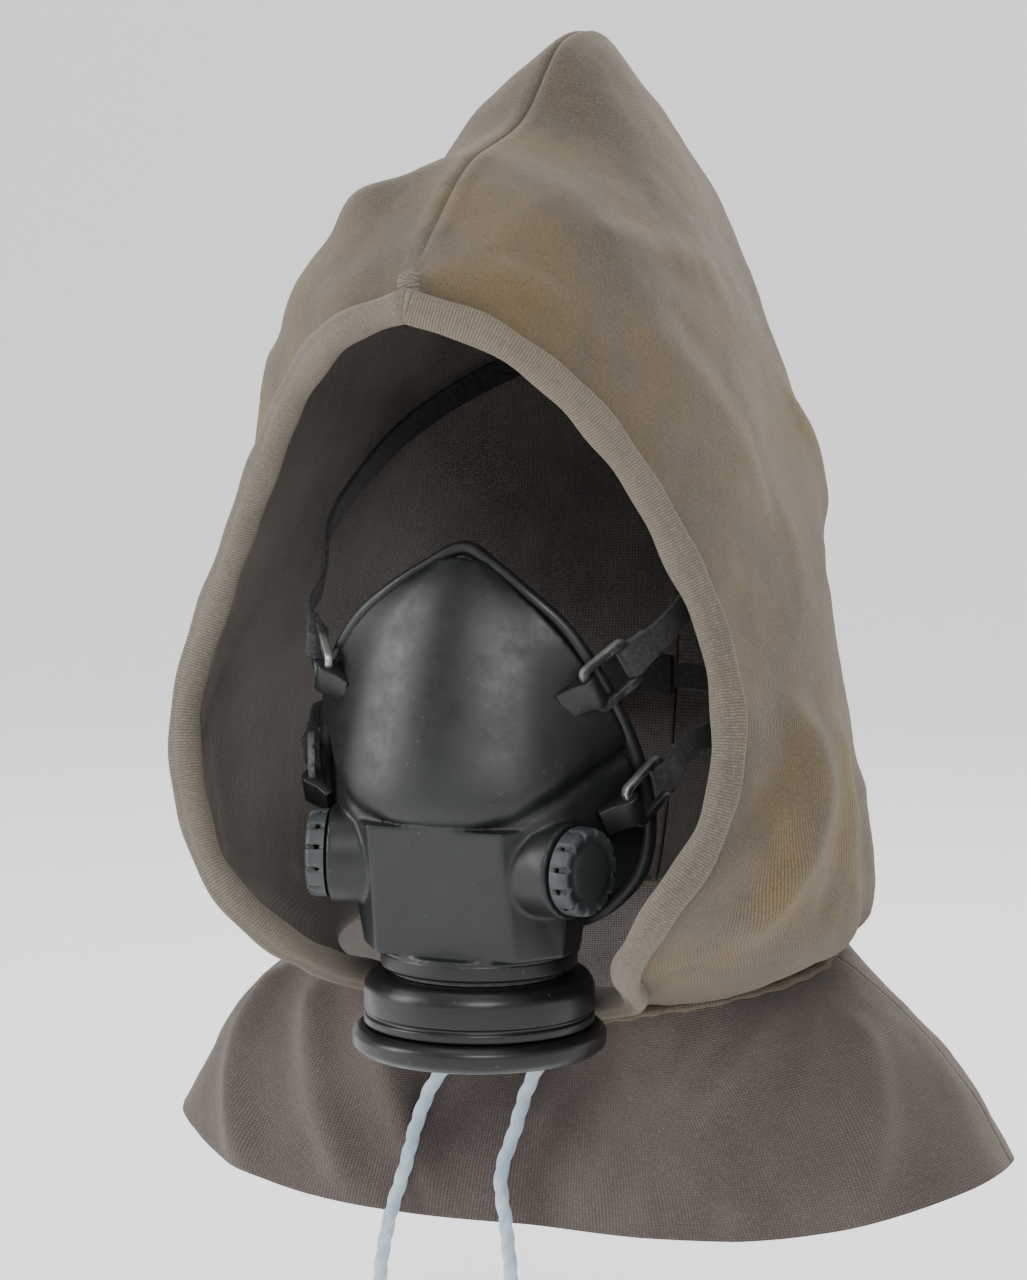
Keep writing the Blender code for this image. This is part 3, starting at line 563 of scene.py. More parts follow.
def knit(name, base, shade, stain, stain_amount, rib=0.11, stitch=0.09, fuzz=0.25):
    look = Look(name)
    height = knit_height(look, rib, stitch)
    heather = look.noise(1300.0, 2, 0.6)
    pepper = look.noise(900.0, 2, 0.6)
    cloud = look.noise(9.0, 5, 0.6)
    mottle = look.noise(70.0, 4, 0.65)
    fibre = look.noise(900.0, 3, 0.7)
    dirt = look.noise(14.0, 6, 0.62, stretch=(1.5, 1.5, 0.7))
    colour = look.mix(look.ramp(cloud, 0.38, 0.64), shade, base)
    colour = look.mix(look.maths("MULTIPLY", look.ramp(dirt, 0.47, 0.66), stain_amount),
                      colour, stain)
    colour = look.mix(look.maths("MULTIPLY", look.ramp(mottle, 0.40, 0.72), 0.18), colour,
                      tuple(min(1, c * 1.25) for c in base))
    colour = look.mix(look.maths("MULTIPLY", look.ramp(heather, 0.46, 0.64), 0.5), colour,
                      tuple(c * 1.45 for c in base))
    colour = look.mix(look.maths("MULTIPLY", look.ramp(pepper, 0.54, 0.68), 0.6), colour,
                      tuple(c * 0.70 for c in shade))
    # painted shade: the knit is darkened in the low grooves between its ribs, where the rib height
    # is low
    colour = look.mix(look.ramp(height, 0.0, 0.7), tuple(c * 0.72 for c in shade), colour)
    colour = look.mix(look.maths("MULTIPLY", look.ramp(fibre, 0.5, 0.8), fuzz), colour,
                      tuple(min(1, c * 1.5) for c in base))
    look.colour(colour)
    soft = look.bump(look.noise(160.0, 3), 0.25, 0.6)
    look.normal(look.bump(height, 0.55, 0.35, look.bump(fibre, 0.35, 0.25, soft)))
    look.value(roughness=0.93, specular_ior_level=0.25, sheen_weight=0.22,
               sheen_roughness=0.45)
    look.shader.inputs["Sheen Tint"].default_value = (0.9, 0.82, 0.7, 1)
    return look.made


def rubber(name, base=(0.0055, 0.0068, 0.0072), dust=(0.020, 0.023, 0.024), dusty=0.6,
           gloss=0.40):
    look = Look(name)
    cloud = look.noise(14.0, 5, 0.6)
    fine = look.noise(120.0, 4, 0.7)
    specks = look.noise(650.0, 2, 0.5)
    colour = look.mix(look.maths("MULTIPLY", look.ramp(cloud, 0.42, 0.75), dusty), base, dust)
    colour = look.mix(look.maths("MULTIPLY", look.ramp(specks, 0.70, 0.78), 0.35), colour,
                      (0.12, 0.13, 0.13))
    look.colour(colour)
    worn = look.maths("MULTIPLY", look.ramp(fine, 0.35, 0.75), 0.16)
    look.rough(look.maths("ADD", look.maths("ADD", worn, gloss - 0.04),
                          look.maths("MULTIPLY", look.ramp(cloud, 0.4, 0.7), 0.10)))
    look.normal(look.bump(fine, 0.12, 0.35, look.bump(look.noise(30.0, 2), 0.18, 1.2)))
    look.value(specular_ior_level=0.42)
    return look.made


def worn_plastic(name, base, worn, roughness, amount):
    """Dark plastic that is rubbed pale along its edges and in patches."""
    look = Look(name)
    edge = look.ramp(look.node("ShaderNodeNewGeometry").outputs["Pointiness"], 0.50, 0.56)
    patch = look.ramp(look.noise(55.0, 5, 0.65), 0.45, 0.70)
    wear = look.maths("MAXIMUM", edge, look.maths("MULTIPLY", patch, 0.7))
    look.colour(look.mix(look.maths("MULTIPLY", wear, amount), base, worn))
    look.rough(look.maths("ADD", look.maths("MULTIPLY", patch, 0.15), roughness))
    look.normal(look.bump(look.noise(240.0, 4, 0.7), 0.25, 0.25))
    return look.made


def worn_metal(name):
    """Black paint worn through to bright metal at the edges."""
    look = Look(name)
    edge = look.ramp(look.node("ShaderNodeNewGeometry").outputs["Pointiness"], 0.52, 0.58)
    scratch = look.ramp(look.noise(140.0, 5, 0.7), 0.50, 0.62)
    patch = look.ramp(look.noise(38.0, 3, 0.6), 0.44, 0.58)
    wear = look.maths("MULTIPLY", look.maths("ADD", edge, look.maths("MULTIPLY", scratch, 0.5)),
                      look.maths("ADD", patch, 0.1))
    wear = look.maths("MINIMUM", wear, 1.0)
    look.colour(look.mix(wear, (0.008, 0.008, 0.009), (0.40, 0.40, 0.39)))
    look.link(wear, look.shader.inputs["Metallic"])
    look.rough(look.maths("SUBTRACT", 0.48, look.maths("MULTIPLY", wear, 0.14)))
    look.normal(look.bump(look.noise(300.0, 4, 0.7), 0.2, 0.15))
    return look.made


def cord_look(name):
    look = Look(name)
    fibre = look.noise(520.0, 4, 0.7, stretch=(1, 1, 0.35))
    cloud = look.noise(60.0, 3)
    colour = look.mix(look.ramp(cloud, 0.35, 0.7), (0.27, 0.36, 0.44), (0.42, 0.52, 0.60))
    colour = look.mix(look.maths("MULTIPLY", look.ramp(fibre, 0.42, 0.72), 0.45), colour,
                      (0.60, 0.68, 0.74))
    look.colour(colour)
    look.normal(look.bump(fibre, 0.6, 0.35))
    look.value(roughness=0.85, sheen_weight=0.3, specular_ior_level=0.25)
    return look.made


def webbing(name):
    look = Look(name)
    uv = look.node("ShaderNodeUVMap")
    uv.uv_map = "UVMap"
    parts = look.node("ShaderNodeSeparateXYZ")
    look.link(uv.outputs["UV"], parts.inputs[0])
    weft = look.maths("SINE", look.maths("MULTIPLY", parts.outputs[0], 2 * math.pi / 0.12))
    warp = look.maths("SINE", look.maths("MULTIPLY", parts.outputs[1], 2 * math.pi * 9))
    weave = look.maths("MULTIPLY", weft, warp)
    fibre = look.noise(700.0, 3)
    look.colour(look.mix(look.ramp(fibre, 0.35, 0.8), (0.012, 0.012, 0.013),
                         (0.05, 0.05, 0.052)))
    look.normal(look.bump(weave, 0.5, 0.3, look.bump(fibre, 0.3, 0.2)))
    look.value(roughness=0.8, sheen_weight=0.15, specular_ior_level=0.3)
    return look.made


def grain(name, dark, light, scale, roughness, metallic=0.0, depth=0.3):
    """A simple worked surface: two tones of grain with matching bump."""
    look = Look(name)
    fine = look.noise(scale, 5, 0.7)
    look.colour(look.mix(look.ramp(fine, 0.35, 0.7), dark, light))
    look.rough(look.maths("ADD", look.maths("MULTIPLY", fine, 0.2), roughness - 0.1))
    look.normal(look.bump(fine, 0.4, depth))
    look.value(metallic=metallic)
    return look.made


LOOKS = {
    "knit_cloth": knit("hood_knit", (0.128, 0.106, 0.082), (0.078, 0.063, 0.045),
                       (0.175, 0.118, 0.045), 0.85),
    "bib_knit": knit("bib_knit", (0.100, 0.082, 0.074), (0.064, 0.052, 0.047),
                     (0.11, 0.085, 0.06), 0.25),
    "hem_cloth": knit("hem_knit", (0.150, 0.131, 0.109), (0.098, 0.083, 0.066),
                      (0.165, 0.125, 0.068), 0.5, 0.10, 0.0),
    "lining": knit("lining_knit", (0.165, 0.150, 0.138), (0.080, 0.072, 0.068),
                   (0.20, 0.18, 0.16), 0.6, fuzz=0.6),
    "twisted_cord": cord_look("cord_cotton"),
    "moulded_rubber": rubber("mask_rubber"),
    "canister_plastic": rubber("canister_rubber", (0.005, 0.0055, 0.006),
                               (0.018, 0.019, 0.02), 0.4, 0.32),
    "valve_cover_plastic": worn_plastic("valve_plastic", (0.008, 0.010, 0.011),
                                        (0.052, 0.060, 0.064), 0.50, 0.55),
    "buckle_metal": worn_metal("buckle_worn_metal"),
    "strap_webbing": webbing("strap_weave"),
    "harness_plastic": grain("harness_grain", (0.012, 0.012, 0.013), (0.03, 0.03, 0.03), 400,
                             0.5),
    "valve_rubber": grain("flap_rubber", (0.08, 0.08, 0.08), (0.14, 0.14, 0.135), 300, 0.55),
    "eyelet_steel": grain("eyelet_metal", (0.38, 0.38, 0.37), (0.6, 0.6, 0.58), 500, 0.35, 1.0,
                          0.1),
    "filter_pad": grain("filter_fibre", (0.55, 0.54, 0.5), (0.78, 0.77, 0.73), 900, 0.9),
    "carbon_grain": grain("carbon_grains", (0.008, 0.008, 0.008), (0.05, 0.05, 0.05), 700, 0.7,
                          0.0, 0.8),
}


# ------------------------------------------------------------------ folds

def distance_to(points, route):
    """Distance of each point to a polyline, and how far along it the nearest place is."""
    best = np.full(len(points), 1e9)
    share = np.zeros(len(points))
    route = np.array(evenly(smooth_path(route), 40))
    spans = len(route) - 1
    for i in range(spans):
        a, b = route[i], route[i + 1]
        along = b - a
        t = np.clip(((points - a) @ along) / max(along @ along, 1e-9), 0, 1)
        gap = np.linalg.norm(points - (a + t[:, None] * along), axis=1)
        nearer = gap < best
        best[nearer] = gap[nearer]
        share[nearer] = ((i + t) / spans)[nearer]
    return best, share


def fold_height(points, folds):
    """Sum of soft ridges (positive) and valleys, each fading out at its ends."""
    total = np.zeros(len(points))
    for route, height, width in folds:
        gap, share = distance_to(points, route)
        fade = np.clip(np.minimum(share, 1 - share) / 0.22, 0, 1)
        fade = fade * fade * (3 - 2 * fade)
        total += FOLD_DEPTH * height * fade * np.exp(-(gap / width) ** 2)
    return total


def ripple(points, scale, height, seed):
    """Soft unevenness of cloth; scale is the size of its lumps."""
    shift = Vector((seed * 13.7, seed * 7.1, seed * 3.3))
    lumps = [noise.noise(Vector(p) / scale + shift) for p in points]
    return np.array(lumps) * height


def border_fade(grid, sides, reach):
    """0 on the named borders of a grid and 1 beyond reach from them."""
    fade = np.ones(grid.shape[:2])
    lines = {"first": grid[:, :1], "last": grid[:, -1:], "top": grid[:1], "foot": grid[-1:]}
    for side in sides:
        away = np.linalg.norm(grid - lines[side], axis=2)
        fade = fade * (1 - np.exp(-(away / reach) ** 2))
    return fade


def displaced(grid, folds, ripples, sides=(), reach=8.0):
    normals = grid_normals(grid)
    points = grid.reshape(-1, 3)
    height = fold_height(points, folds)
    for scale, size, seed in ripples:
        height += ripple(points, scale, size, seed)
    height = height.reshape(grid.shape[:2]) * border_fade(grid, sides, reach)
    return grid + normals * height[..., None]


# ------------------------------------------------------------------ hood

RIGHT_FOLDS = [
    ([(52, -118, 80), (64, -88, 68), (76, -62, 34), (86, -45, 8), (94, -42, -40), (102, -30, -80)],
     3.2, 7),
    ([(60, -88, 88), (72, -66, 60), (82, -52, 30), (90, -50, 0)], -2.2, 6),
    ([(80, 0, 60), (88, 10, 30), (94, 10, 0)], 2.2, 7),
    ([(100, -70, -40), (106, -62, -70), (104, -80, -105), (88, -88, -130)], 4.0, 9),
    ([(104, -50, -45), (109, -40, -85), (106, -30, -120), (98, -20, -145)], 3.5, 9),
    ([(100, -60, -60), (108, -52, -95), (104, -55, -130)], -2.6, 6),
    ([(109, 0, -70), (112, 5, -110), (104, 5, -145)], 3.0, 9),
    ([(40, -110, 108), (60, -70, 104), (66, -30, 92)], 1.8, 9),
    ([(20, -128, 100), (44, -118, 84), (58, -108, 66)], 1.8, 5),
]
LEFT_FOLDS = [
    ([(-20, -110, 118), (-44, -78, 112), (-58, -40, 104)], 3.0, 12),
    ([(-26, -100, 124), (-40, -40, 130), (-30, 0, 140)], -3.0, 8),
    ([(-60, -112, 70), (-76, -80, 50), (-86, -60, 20)], 2.6, 8),
    ([(-96, -95, -20), (-104, -88, -55), (-104, -92, -90)], 3.0, 9),
    ([(-104, -60, -40), (-109, -50, -85), (-106, -40, -125)], 3.0, 9),
    ([(-100, -75, -60), (-108, -68, -95), (-98, -64, -135)], -2.4, 6),
    ([(-108, 0, -60), (-112, 5, -105), (-102, 5, -145)], 3.0, 9),
]
BACK_FOLDS = [
    ([(40, 88, 90), (60, 84, 40), (70, 82, -20)], 2.5, 9),
    ([(-36, 90, 80), (-58, 86, 30), (-72, 80, -40)], 2.5, 9),
    ([(30, 105, -40), (50, 92, -90), (70, 75, -135)], 3.0, 10),
    ([(-26, 106, -50), (-50, 92, -95), (-74, 70, -138)], 3.0, 10),
]


def beside(line, i, target, distance):
    along = (line[min(i + 1, len(line) - 1)] - line[max(i - 1, 0)]).normalized()
    away = target - line[i]
    return line[i] + (away - along * away.dot(along)).normalized() * distance


def hood_edge():
    hem = [Vector(p) for p in HEM_RAIL]
    edge = [beside(hem, i, Vector(front), HEM_RADIUS * 0.55)
            for i, front in enumerate(FRONT_RAIL)]
    edge[0].x = 0.0
    edge[-1] = Vector(NECK_HALF[0])
    return edge


def hood_grid(side):
    """The panel's outer face from the hem to the centre seam, brow to neck."""
    edge = hood_edge()
    last = len(CREST_RAIL) - 1
    lines = []
    for r in range(HOOD_ROWS):
        position = last * r / (HOOD_ROWS - 1)
        points = [rail_at(rail, position) for rail in (edge, FRONT_RAIL, BACK_RAIL, CREST_RAIL)]
        turn = float(np.interp(position, range(len(CREST_TURN)), CREST_TURN))
        path = smooth_path(points, steps=24, last_slope=Vector((-turn, 0, 0)))
        lines.append(evenly(path, HOOD_COLUMNS))
    neck = evenly(smooth_path(NECK_HALF, steps=24), HOOD_COLUMNS)
    blend_rows = HOOD_ROWS // 12
    for k in range(blend_rows):
        r = HOOD_ROWS - 1 - k
        share = (1 - k / blend_rows) ** 2
        lines[r] = [p.lerp(n, share) for p, n in zip(lines[r], neck)]
    grid = grid_array(lines)
    grid[..., 0] = np.maximum(grid[..., 0], 0.0) * side
    return grid if side > 0 else grid[:, ::-1]


def seam_relief(grid, seam_line, depth=0.9, lip=0.35):
    """A pulled-in centre seam with a soft lip and small puckers along it."""
    away = np.linalg.norm(grid - seam_line, axis=2)
    steps = np.arange(grid.shape[0])[:, None]
    pucker = 1 + 0.4 * np.sin(steps * 0.9) + 0.3 * np.sin(steps * 2.3)
    groove = -depth * np.exp(-(away / 1.1) ** 2)
    ridge = lip * np.exp(-((away - 4.0) / 2.2) ** 2) * pucker
    return (groove + ridge) * np.clip(steps / 14 - 0.3, 0, 1)


def slimmed(grid, place, reach, share):
    """Draws the cloth in towards the middle about one place."""
    gap = ((grid[..., 1:] - place) / reach) ** 2
    grid = grid.copy()
    grid[..., 0] *= 1 - share * np.exp(-gap.sum(axis=2))
    return grid


def hood_panel(side):
    grid = hood_grid(side)
    if side < 0:
        grid = slimmed(grid, (-58, 116), (52, 26), 0.17)
    folds = (RIGHT_FOLDS if side > 0 else LEFT_FOLDS) + BACK_FOLDS
    borders = ("last", "first", "foot")
    grid = displaced(grid, folds, [(46, 2.6, side + 3), (17, 0.8, side + 8), (6, 0.22, side + 5)],
                     borders)
    seam_line = grid[:, -1:] if side > 0 else grid[:, :1]
    relief = seam_relief(grid, seam_line)
    normals = grid_normals(grid)
    normals[:, -1 if side > 0 else 0, 0] = 0.0
    grid = grid + normals * relief[..., None]
    name = "hood_cloth_" + SIDE_NAMES[side]
    cloth = cloth_shell(name, grid, CLOTH, LOOKS["knit_cloth"], LOOKS["lining"])
    fit(cloth, "hood", "knit_cloth", "hood_%s_panel" % SIDE_NAMES[side])
    return cloth


def oval(outward, across):
    """A plain section of a tube."""
    return lambda share, run, turn: (outward * math.cos(turn), across * math.sin(turn))


def hem_section(share, run, turn):
    """A soft roll, flatter than it is wide, with puckers and a sewn groove outside it."""
    lump = 1 + 0.06 * math.sin(run / 9.0) + 0.05 * math.sin(run / 4.1 + 2)
    width = 5.6 * lump
    thick = 4.4 * (1 + 0.05 * math.sin(run / 6.3 + 1))
    groove = 0.9 * math.exp(-((math.degrees(turn) - 62) / 16) ** 2)
    groove += 0.5 * math.exp(-((math.degrees(turn) - 300) / 14) ** 2)
    return (width - groove) * math.cos(turn), (thick - groove) * math.sin(turn)


def add_brow_tab():
    """The pinched cloth where the hem's two ends meet the centre seam."""
    path = [Vector((0.4 * math.sin(i), -143.6 + 2.4 * i / 9, 90 + 8.5 * i / 9))
            for i in range(10)]
    tab = swept_tube("brow_pinch", smooth_path(path, steps=3), 16, tab_section,
                     LOOKS["hem_cloth"])
    fit(tab, "hood", "hem_cloth")


def tab_section(share, run, turn):
    reach = 2.6 * math.sqrt(max(0.05, 1 - (2 * share - 0.9) ** 2))
    return reach * math.cos(turn), 1.5 * reach * math.sin(turn)


def add_hem():
    count = 210
    last = len(HEM_RAIL) - 1
    half = [rail_at(HEM_RAIL, last * i / count) for i in range(count + 1)]
    loop = half + [sided(p, -1) for p in reversed(half[1:-1])]
    loop = [p + Vector((0, 0, 1)) * 0.5 * noise.noise(p / 14) for p in loop]
    tube = swept_tube("hem_roll", loop, 28, hem_section, LOOKS["hem_cloth"],
                      closed=True)
    fit(tube, "hood", "hem_cloth", "face_hem")


def seam_section(share, run, turn):
    pucker = 1 + 0.16 * math.sin(run / 1.9) + 0.1 * math.sin(run / 4.7)
    return 2.1 * pucker * math.cos(turn), 1.8 * pucker * math.sin(turn)


def add_neck_seam():
    half = evenly(smooth_path(NECK_HALF, steps=24), 150)
    loop = half + [sided(p, -1) for p in reversed(half[1:-1])]
    tube = swept_tube("neck_seam_roll", loop, 14, seam_section, LOOKS["knit_cloth"],
                      closed=True)
    fit(tube, "hood", "hem_cloth", "neck_seam")


# ------------------------------------------------------------------ bib

BIB_FOLDS = [
    ([(88, -20, -156), (66, -42, -190), (34, -44, -238)], 4.0, 7),
    ([(70, -36, -160), (44, -40, -196), (14, -41, -238)], 3.0, 6),
    ([(96, -14, -160), (92, -38, -200), (70, -44, -240)], 4.0, 8),
    ([(104, -6, -160), (120, -24, -200), (112, -38, -236)], 4.0, 8),
    ([(-60, -38, -160), (-50, -40, -200), (-34, -43, -240)], 3.5, 7),
    ([(-84, -22, -156), (-82, -40, -196), (-66, -44, -240)], 4.0, 8),
    ([(-100, -6, -156), (-118, -22, -196), (-108, -38, -238)], 4.0, 8),
    ([(60, 80, -150), (76, 90, -195), (70, 98, -236)], 4.0, 9),
    ([(0, 92, -150), (-6, 100, -195), (4, 106, -238)], 3.5, 9),
    ([(-62, 80, -150), (-78, 88, -195), (-72, 98, -236)], 4.0, 9),
]


def bib_grid(first, last):
    lines = [evenly(smooth_path(rail, steps=20), 2 * BIB_COLUMNS - 1)
             for rail in (NECK_HALF, BIB_MIDDLE, BIB_HEM)]
    columns = []
    for c in range(first, last + 1):
        columns.append(evenly(smooth_path([line[c] for line in lines]), BIB_ROWS,
                              trim_start=0.6))
    return grid_array(columns).transpose(1, 0, 2)


def add_bib():
    split = BIB_COLUMNS - 1
    front = bib_grid(0, split)
    back = bib_grid(split, 2 * split)
    flip = np.array([-1.0, 1.0, 1.0])
    front = np.concatenate([(front * flip)[:, :0:-1], front], axis=1)
    back = np.concatenate([back, (back * flip)[:, -2::-1]], axis=1)
    for name, grid, drop, area in (("bib_front", front, 0.085, 0.030),
                                   ("bib_back", back, 0.095, 0.033)):
        grid = displaced(grid, BIB_FOLDS, [(40, 2.5, 11), (15, 0.8, 12), (6, 0.2, 14)])
        cloth = cloth_shell(name + "_cloth", grid, CLOTH, LOOKS["bib_knit"], LOOKS["lining"])
        fit(cloth, "hood", "knit_cloth", name)


# ------------------------------------------------------------------ drawstrings

TWIST_PITCH = 8.0


def cord_section(share, run, turn):
    """Three strands laid round each other."""
    lobe = abs(math.cos(1.5 * (turn - 2 * math.pi * run / (3 * TWIST_PITCH))))
    reach = CORD_RADIUS * (0.74 + 0.29 * lobe)
    return reach * math.cos(turn), reach * math.sin(turn)


def knot_path(centre):
    """A small overhand knot: a trefoil loop, a little flattened."""
    path = []
    for i in range(96):
        t = 2 * math.pi * i / 96
        path.append(centre + Vector((2.0 * math.sin(t) + 2.6 * math.sin(2 * t),
                                     1.3 * -math.sin(3 * t),
                                     2.0 * math.cos(t) - 2.6 * math.cos(2 * t))))
    return path


def add_drawstring(side):
    route = smooth_path(CORD_ROUTES[side])
    length = path_length(route)
    path = evenly(route, int(length / 0.8))
    cord = swept_tube("drawstring_cord_" + side, path, 24, cord_section,
                      LOOKS["twisted_cord"])
    centre = path[-1] + Vector((0, 0, -6.2))
    knot = swept_tube("drawstring_end_" + side, knot_path(centre), 12, oval(1.7, 1.7),
                      LOOKS["twisted_cord"], closed=True)
    fit(cord, "hood", "twisted_cord", "drawstring_" + side)
    fit(knot, "hood", "twisted_cord", "drawstring_knot_" + side)


# ------------------------------------------------------------------ facepiece

def mask_grid(rows, columns):
    last = len(MASK_MIDDLE) - 1
    lines = []
    for r in range(rows):
        position = last * r / (rows - 1)
        middle, bulge, edge = (rail_at(rail, position)
                               for rail in (MASK_MIDDLE, MASK_BULGE, MASK_SIDE))
        points = [sided(edge, -1), sided(bulge, -1), middle, bulge, edge]
        lines.append(evenly(smooth_path(points, steps=20), columns))
    return grid_array(lines)


def dome_relief(points):
    """The raised nose dome, with a groove under its lower edge."""
    x = np.abs(points[:, 0])
    level = np.interp(x, [0, 14, 28, 38, 46, 54], [-84.5, -84, -80.5, -74, -66.5, -60])
    above = points[:, 2] - level
    raised = 1 / (1 + np.exp(-(above - 1.5) / 1.3))
    groove = np.exp(-((above + 2.2) / 2.4) ** 2)
    return 3.4 * raised - 1.6 * groove


def grid_solid(name, outer, thickness):
    rows, columns = outer.shape[:2]
    inner = outer - grid_normals(outer) * thickness
    faces = shell_faces(rows, columns)
    verts = np.concatenate([outer.reshape(-1, 3), inner.reshape(-1, 3)])
    return finish_mesh(name, verts, faces, LOOKS["moulded_rubber"], None, 0)


def lofted_block(name, outlines):
    """A block from level outlines of the same length, top to bottom."""
    count = len(outlines[0])
    verts = [p for outline in outlines for p in outline]
    faces = loft_faces(count, len(outlines))
    return finish_mesh(name, verts, faces, LOOKS["moulded_rubber"], None, 0)


def housing_outline(half, level):
    right = [Vector((x, y, level)) for x, y in half]
    return [sided(p, -1) for p in reversed(right)] + right


def valve_axis(side):
    return Vector((side * math.cos(VALVE_LEAN), -math.sin(VALVE_LEAN), 0))


def valve_point(side, depth):
    return sided(VALVE_FACE, side) + valve_axis(side) * depth


def merged(parts, name, voxel, smoothing):
    """One moulded body from overlapping ones, its inner corners filleted."""
    bpy.ops.object.select_all(action="DESELECT")
    for part in parts:
        part.select_set(True)
    bpy.context.view_layer.objects.active = parts[0]
    bpy.ops.object.join()
    body = bpy.context.object
    body.name = name
    remesh = body.modifiers.new("melt", "REMESH")
    remesh.mode = "VOXEL"
    remesh.voxel_size = voxel * MM
    smooth = body.modifiers.new("soften", "SMOOTH")
    smooth.factor = 0.5
    smooth.iterations = smoothing
    apply_all(body)
    body.data.shade_smooth()
    return body


def add_moulding():
    """Dome, cheeks, front housing and valve seats, moulded in one rubber body."""
    grid = mask_grid(110, 130)
    normals = grid_normals(grid)
    relief = dome_relief(grid.reshape(-1, 3)).reshape(grid.shape[:2])
    dome = grid_solid("dome_body", grid + normals * relief[..., None], 3.0)
    top = housing_outline([(23.5, -125.5), (43, -103), (45, -88)], -85.5)
    foot = housing_outline([(25.0, -114.6), (36, -99), (37, -86)], -131.0)
    block = lofted_block("housing_body", [top, foot])
    parts = [dome, block]
    for side in (1, -1):
        seat = [(16.3, -8.0), (16.3, -24), (0, -24), (0, -11.4), (12.2, -11.4), (12.2, -8.0)]
        parts.append(turned("seat_body", seat, valve_point(side, 0), valve_axis(side),
                            LOOKS["moulded_rubber"], 64, crease=0))
    collar = [(33.0, -131), (33.0, -138), (17, -138), (17, -131)]
    parts.append(turned("collar_body", collar, (0, CANISTER_Y, 0), (0, 0, 1),
                        LOOKS["moulded_rubber"], 80, crease=0))
    body = merged(parts, "mask_moulding", 0.8, 4)
    body.data.materials.clear()
    body.data.materials.append(LOOKS["moulded_rubber"])
    fit(body, "facepiece", "moulded_rubber", "facepiece_shell", "front_housing",
        "valve_boss_left", "valve_boss_right")


def add_seal():
    half = [Vector(p) for p in MASK_EDGE]
    loop = smooth_path(half + [sided(p, -1) for p in reversed(half[1:-1])], steps=12,
                       closed=True)
    tube = swept_tube("mask_seal", loop, 20, oval(2.7, 2.4), LOOKS["moulded_rubber"],
                      closed=True)
    fit(tube, "facepiece", "moulded_rubber", "face_seal")


# ------------------------------------------------------------------ canister

def add_canister():
    place, up = (0, CANISTER_Y, 0), (0, 0, 1)
    drum = [(33.2, -140), (36.4, -140.4), (39.0, -144.0), (39.0, -152.5), (38.2, -153.1),
            (38.2, -153.9), (39.0, -154.5), (39.0, -157.6), (36.5, -157.6), (36.5, -148.8),
            (20.6, -148.8), (20.6, -140)]
    body = turned("canister_shell", rounded(drum, 1.6), place, up, LOOKS["canister_plastic"])
    fit(body, "canister", "canister_plastic", "canister_drum")
    cap = [(35, -158), (40.6, -158), (43, -160.2), (43, -164.8), (40.8, -167), (32.5, -167),
           (32.5, -166.2), (31.5, -166.2), (31.5, -167), (12.5, -167), (12.5, -166.4),
           (11.5, -166.4), (11.5, -167), (0, -167), (0, -164.5), (35, -164.5)]
    lid = turned("canister_foot_cap", rounded(cap, 1.1), place, up, LOOKS["canister_plastic"])
    fit(lid, "inlet_cap", "canister_plastic", "canister_cap")
    for hole in range(24):
        turn = 2 * math.pi * hole / 24
        start = Vector((22 * math.cos(turn), CANISTER_Y + 22 * math.sin(turn), -168))
        bore = turned("inlet_bore", [(0, 6), (1.9, 6), (1.9, 0), (0, 0)], start, up,
                      LOOKS["canister_plastic"], 12)
        drill(lid, bore)
    collar = [(32.0, -131.6), (33.2, -132.6), (33.2, -137.4), (32.2, -138.2), (20, -138.2),
              (20, -147), (17, -147), (17, -131.6)]
    neck = turned("neck_collar", rounded(collar, 0.8), place, up, LOOKS["moulded_rubber"])
    fit(neck, "facepiece", "moulded_rubber", "housing_neck", "neck_spigot")


def drill(target, bore):
    cut = target.modifiers.new("hole", "BOOLEAN")
    cut.operation = "DIFFERENCE"
    cut.solver = "EXACT"
    cut.object = bore
    apply_all(target)
    bpy.data.objects.remove(bore)


# ------------------------------------------------------------------ valves

TEETH = 12


def cover_reach(index, turn, radius):
    """Notches round the cover's rim, between broad teeth."""
    phase = (turn * TEETH / (2 * math.pi)) % 1.0
    notch = 1.3 if phase < 0.24 else 0.0
    return radius - notch if 12.4 < radius and index < 9 else radius


def add_valve_cover(side):
    cover = [(0, 0.0), (7.5, -0.1), (9.2, -0.5), (10.0, -1.0), (11.2, -0.9), (12.6, -0.5),
             (13.6, -0.7), (14.5, -1.6), (14.75, -3.0), (14.75, -7.0), (11.8, -7.0),
             (11.8, -2.6), (0, -2.6)]
    made = turned("valve_knob_" + SIDE_NAMES[side], cover, valve_point(side, 0),
                  valve_axis(side), LOOKS["valve_cover_plastic"], 144, cover_reach, 50)
    axis = valve_axis(side)
    for tooth in range(TEETH):
        turn = 2 * math.pi * (tooth + 0.12) / TEETH
        spin = Vector((0, 0, 1)).rotation_difference(axis).to_matrix()
        out = spin @ Vector((math.cos(turn), math.sin(turn), 0))
        start = valve_point(side, -4.6) + out * 10.0
        bore = turned("vent_bore", [(0, 6), (0.9, 6), (0.9, 0), (0, 0)], start, out,
                      LOOKS["valve_cover_plastic"], 8)
        drill(made, bore)
    fit(made, "valve_cover_" + SIDE_NAMES[side], "valve_cover_plastic",
        "valve_cover_" + SIDE_NAMES[side])


# ------------------------------------------------------------------ buckles and straps

def buckle_frame(height, side):
    middle, along, out = BUCKLES[height]
    along = sided(along, side).normalized()
    out = sided(out, side)
    out = (out - along * out.dot(along)).normalized()
    return sided(middle, side), along, along.cross(out), out


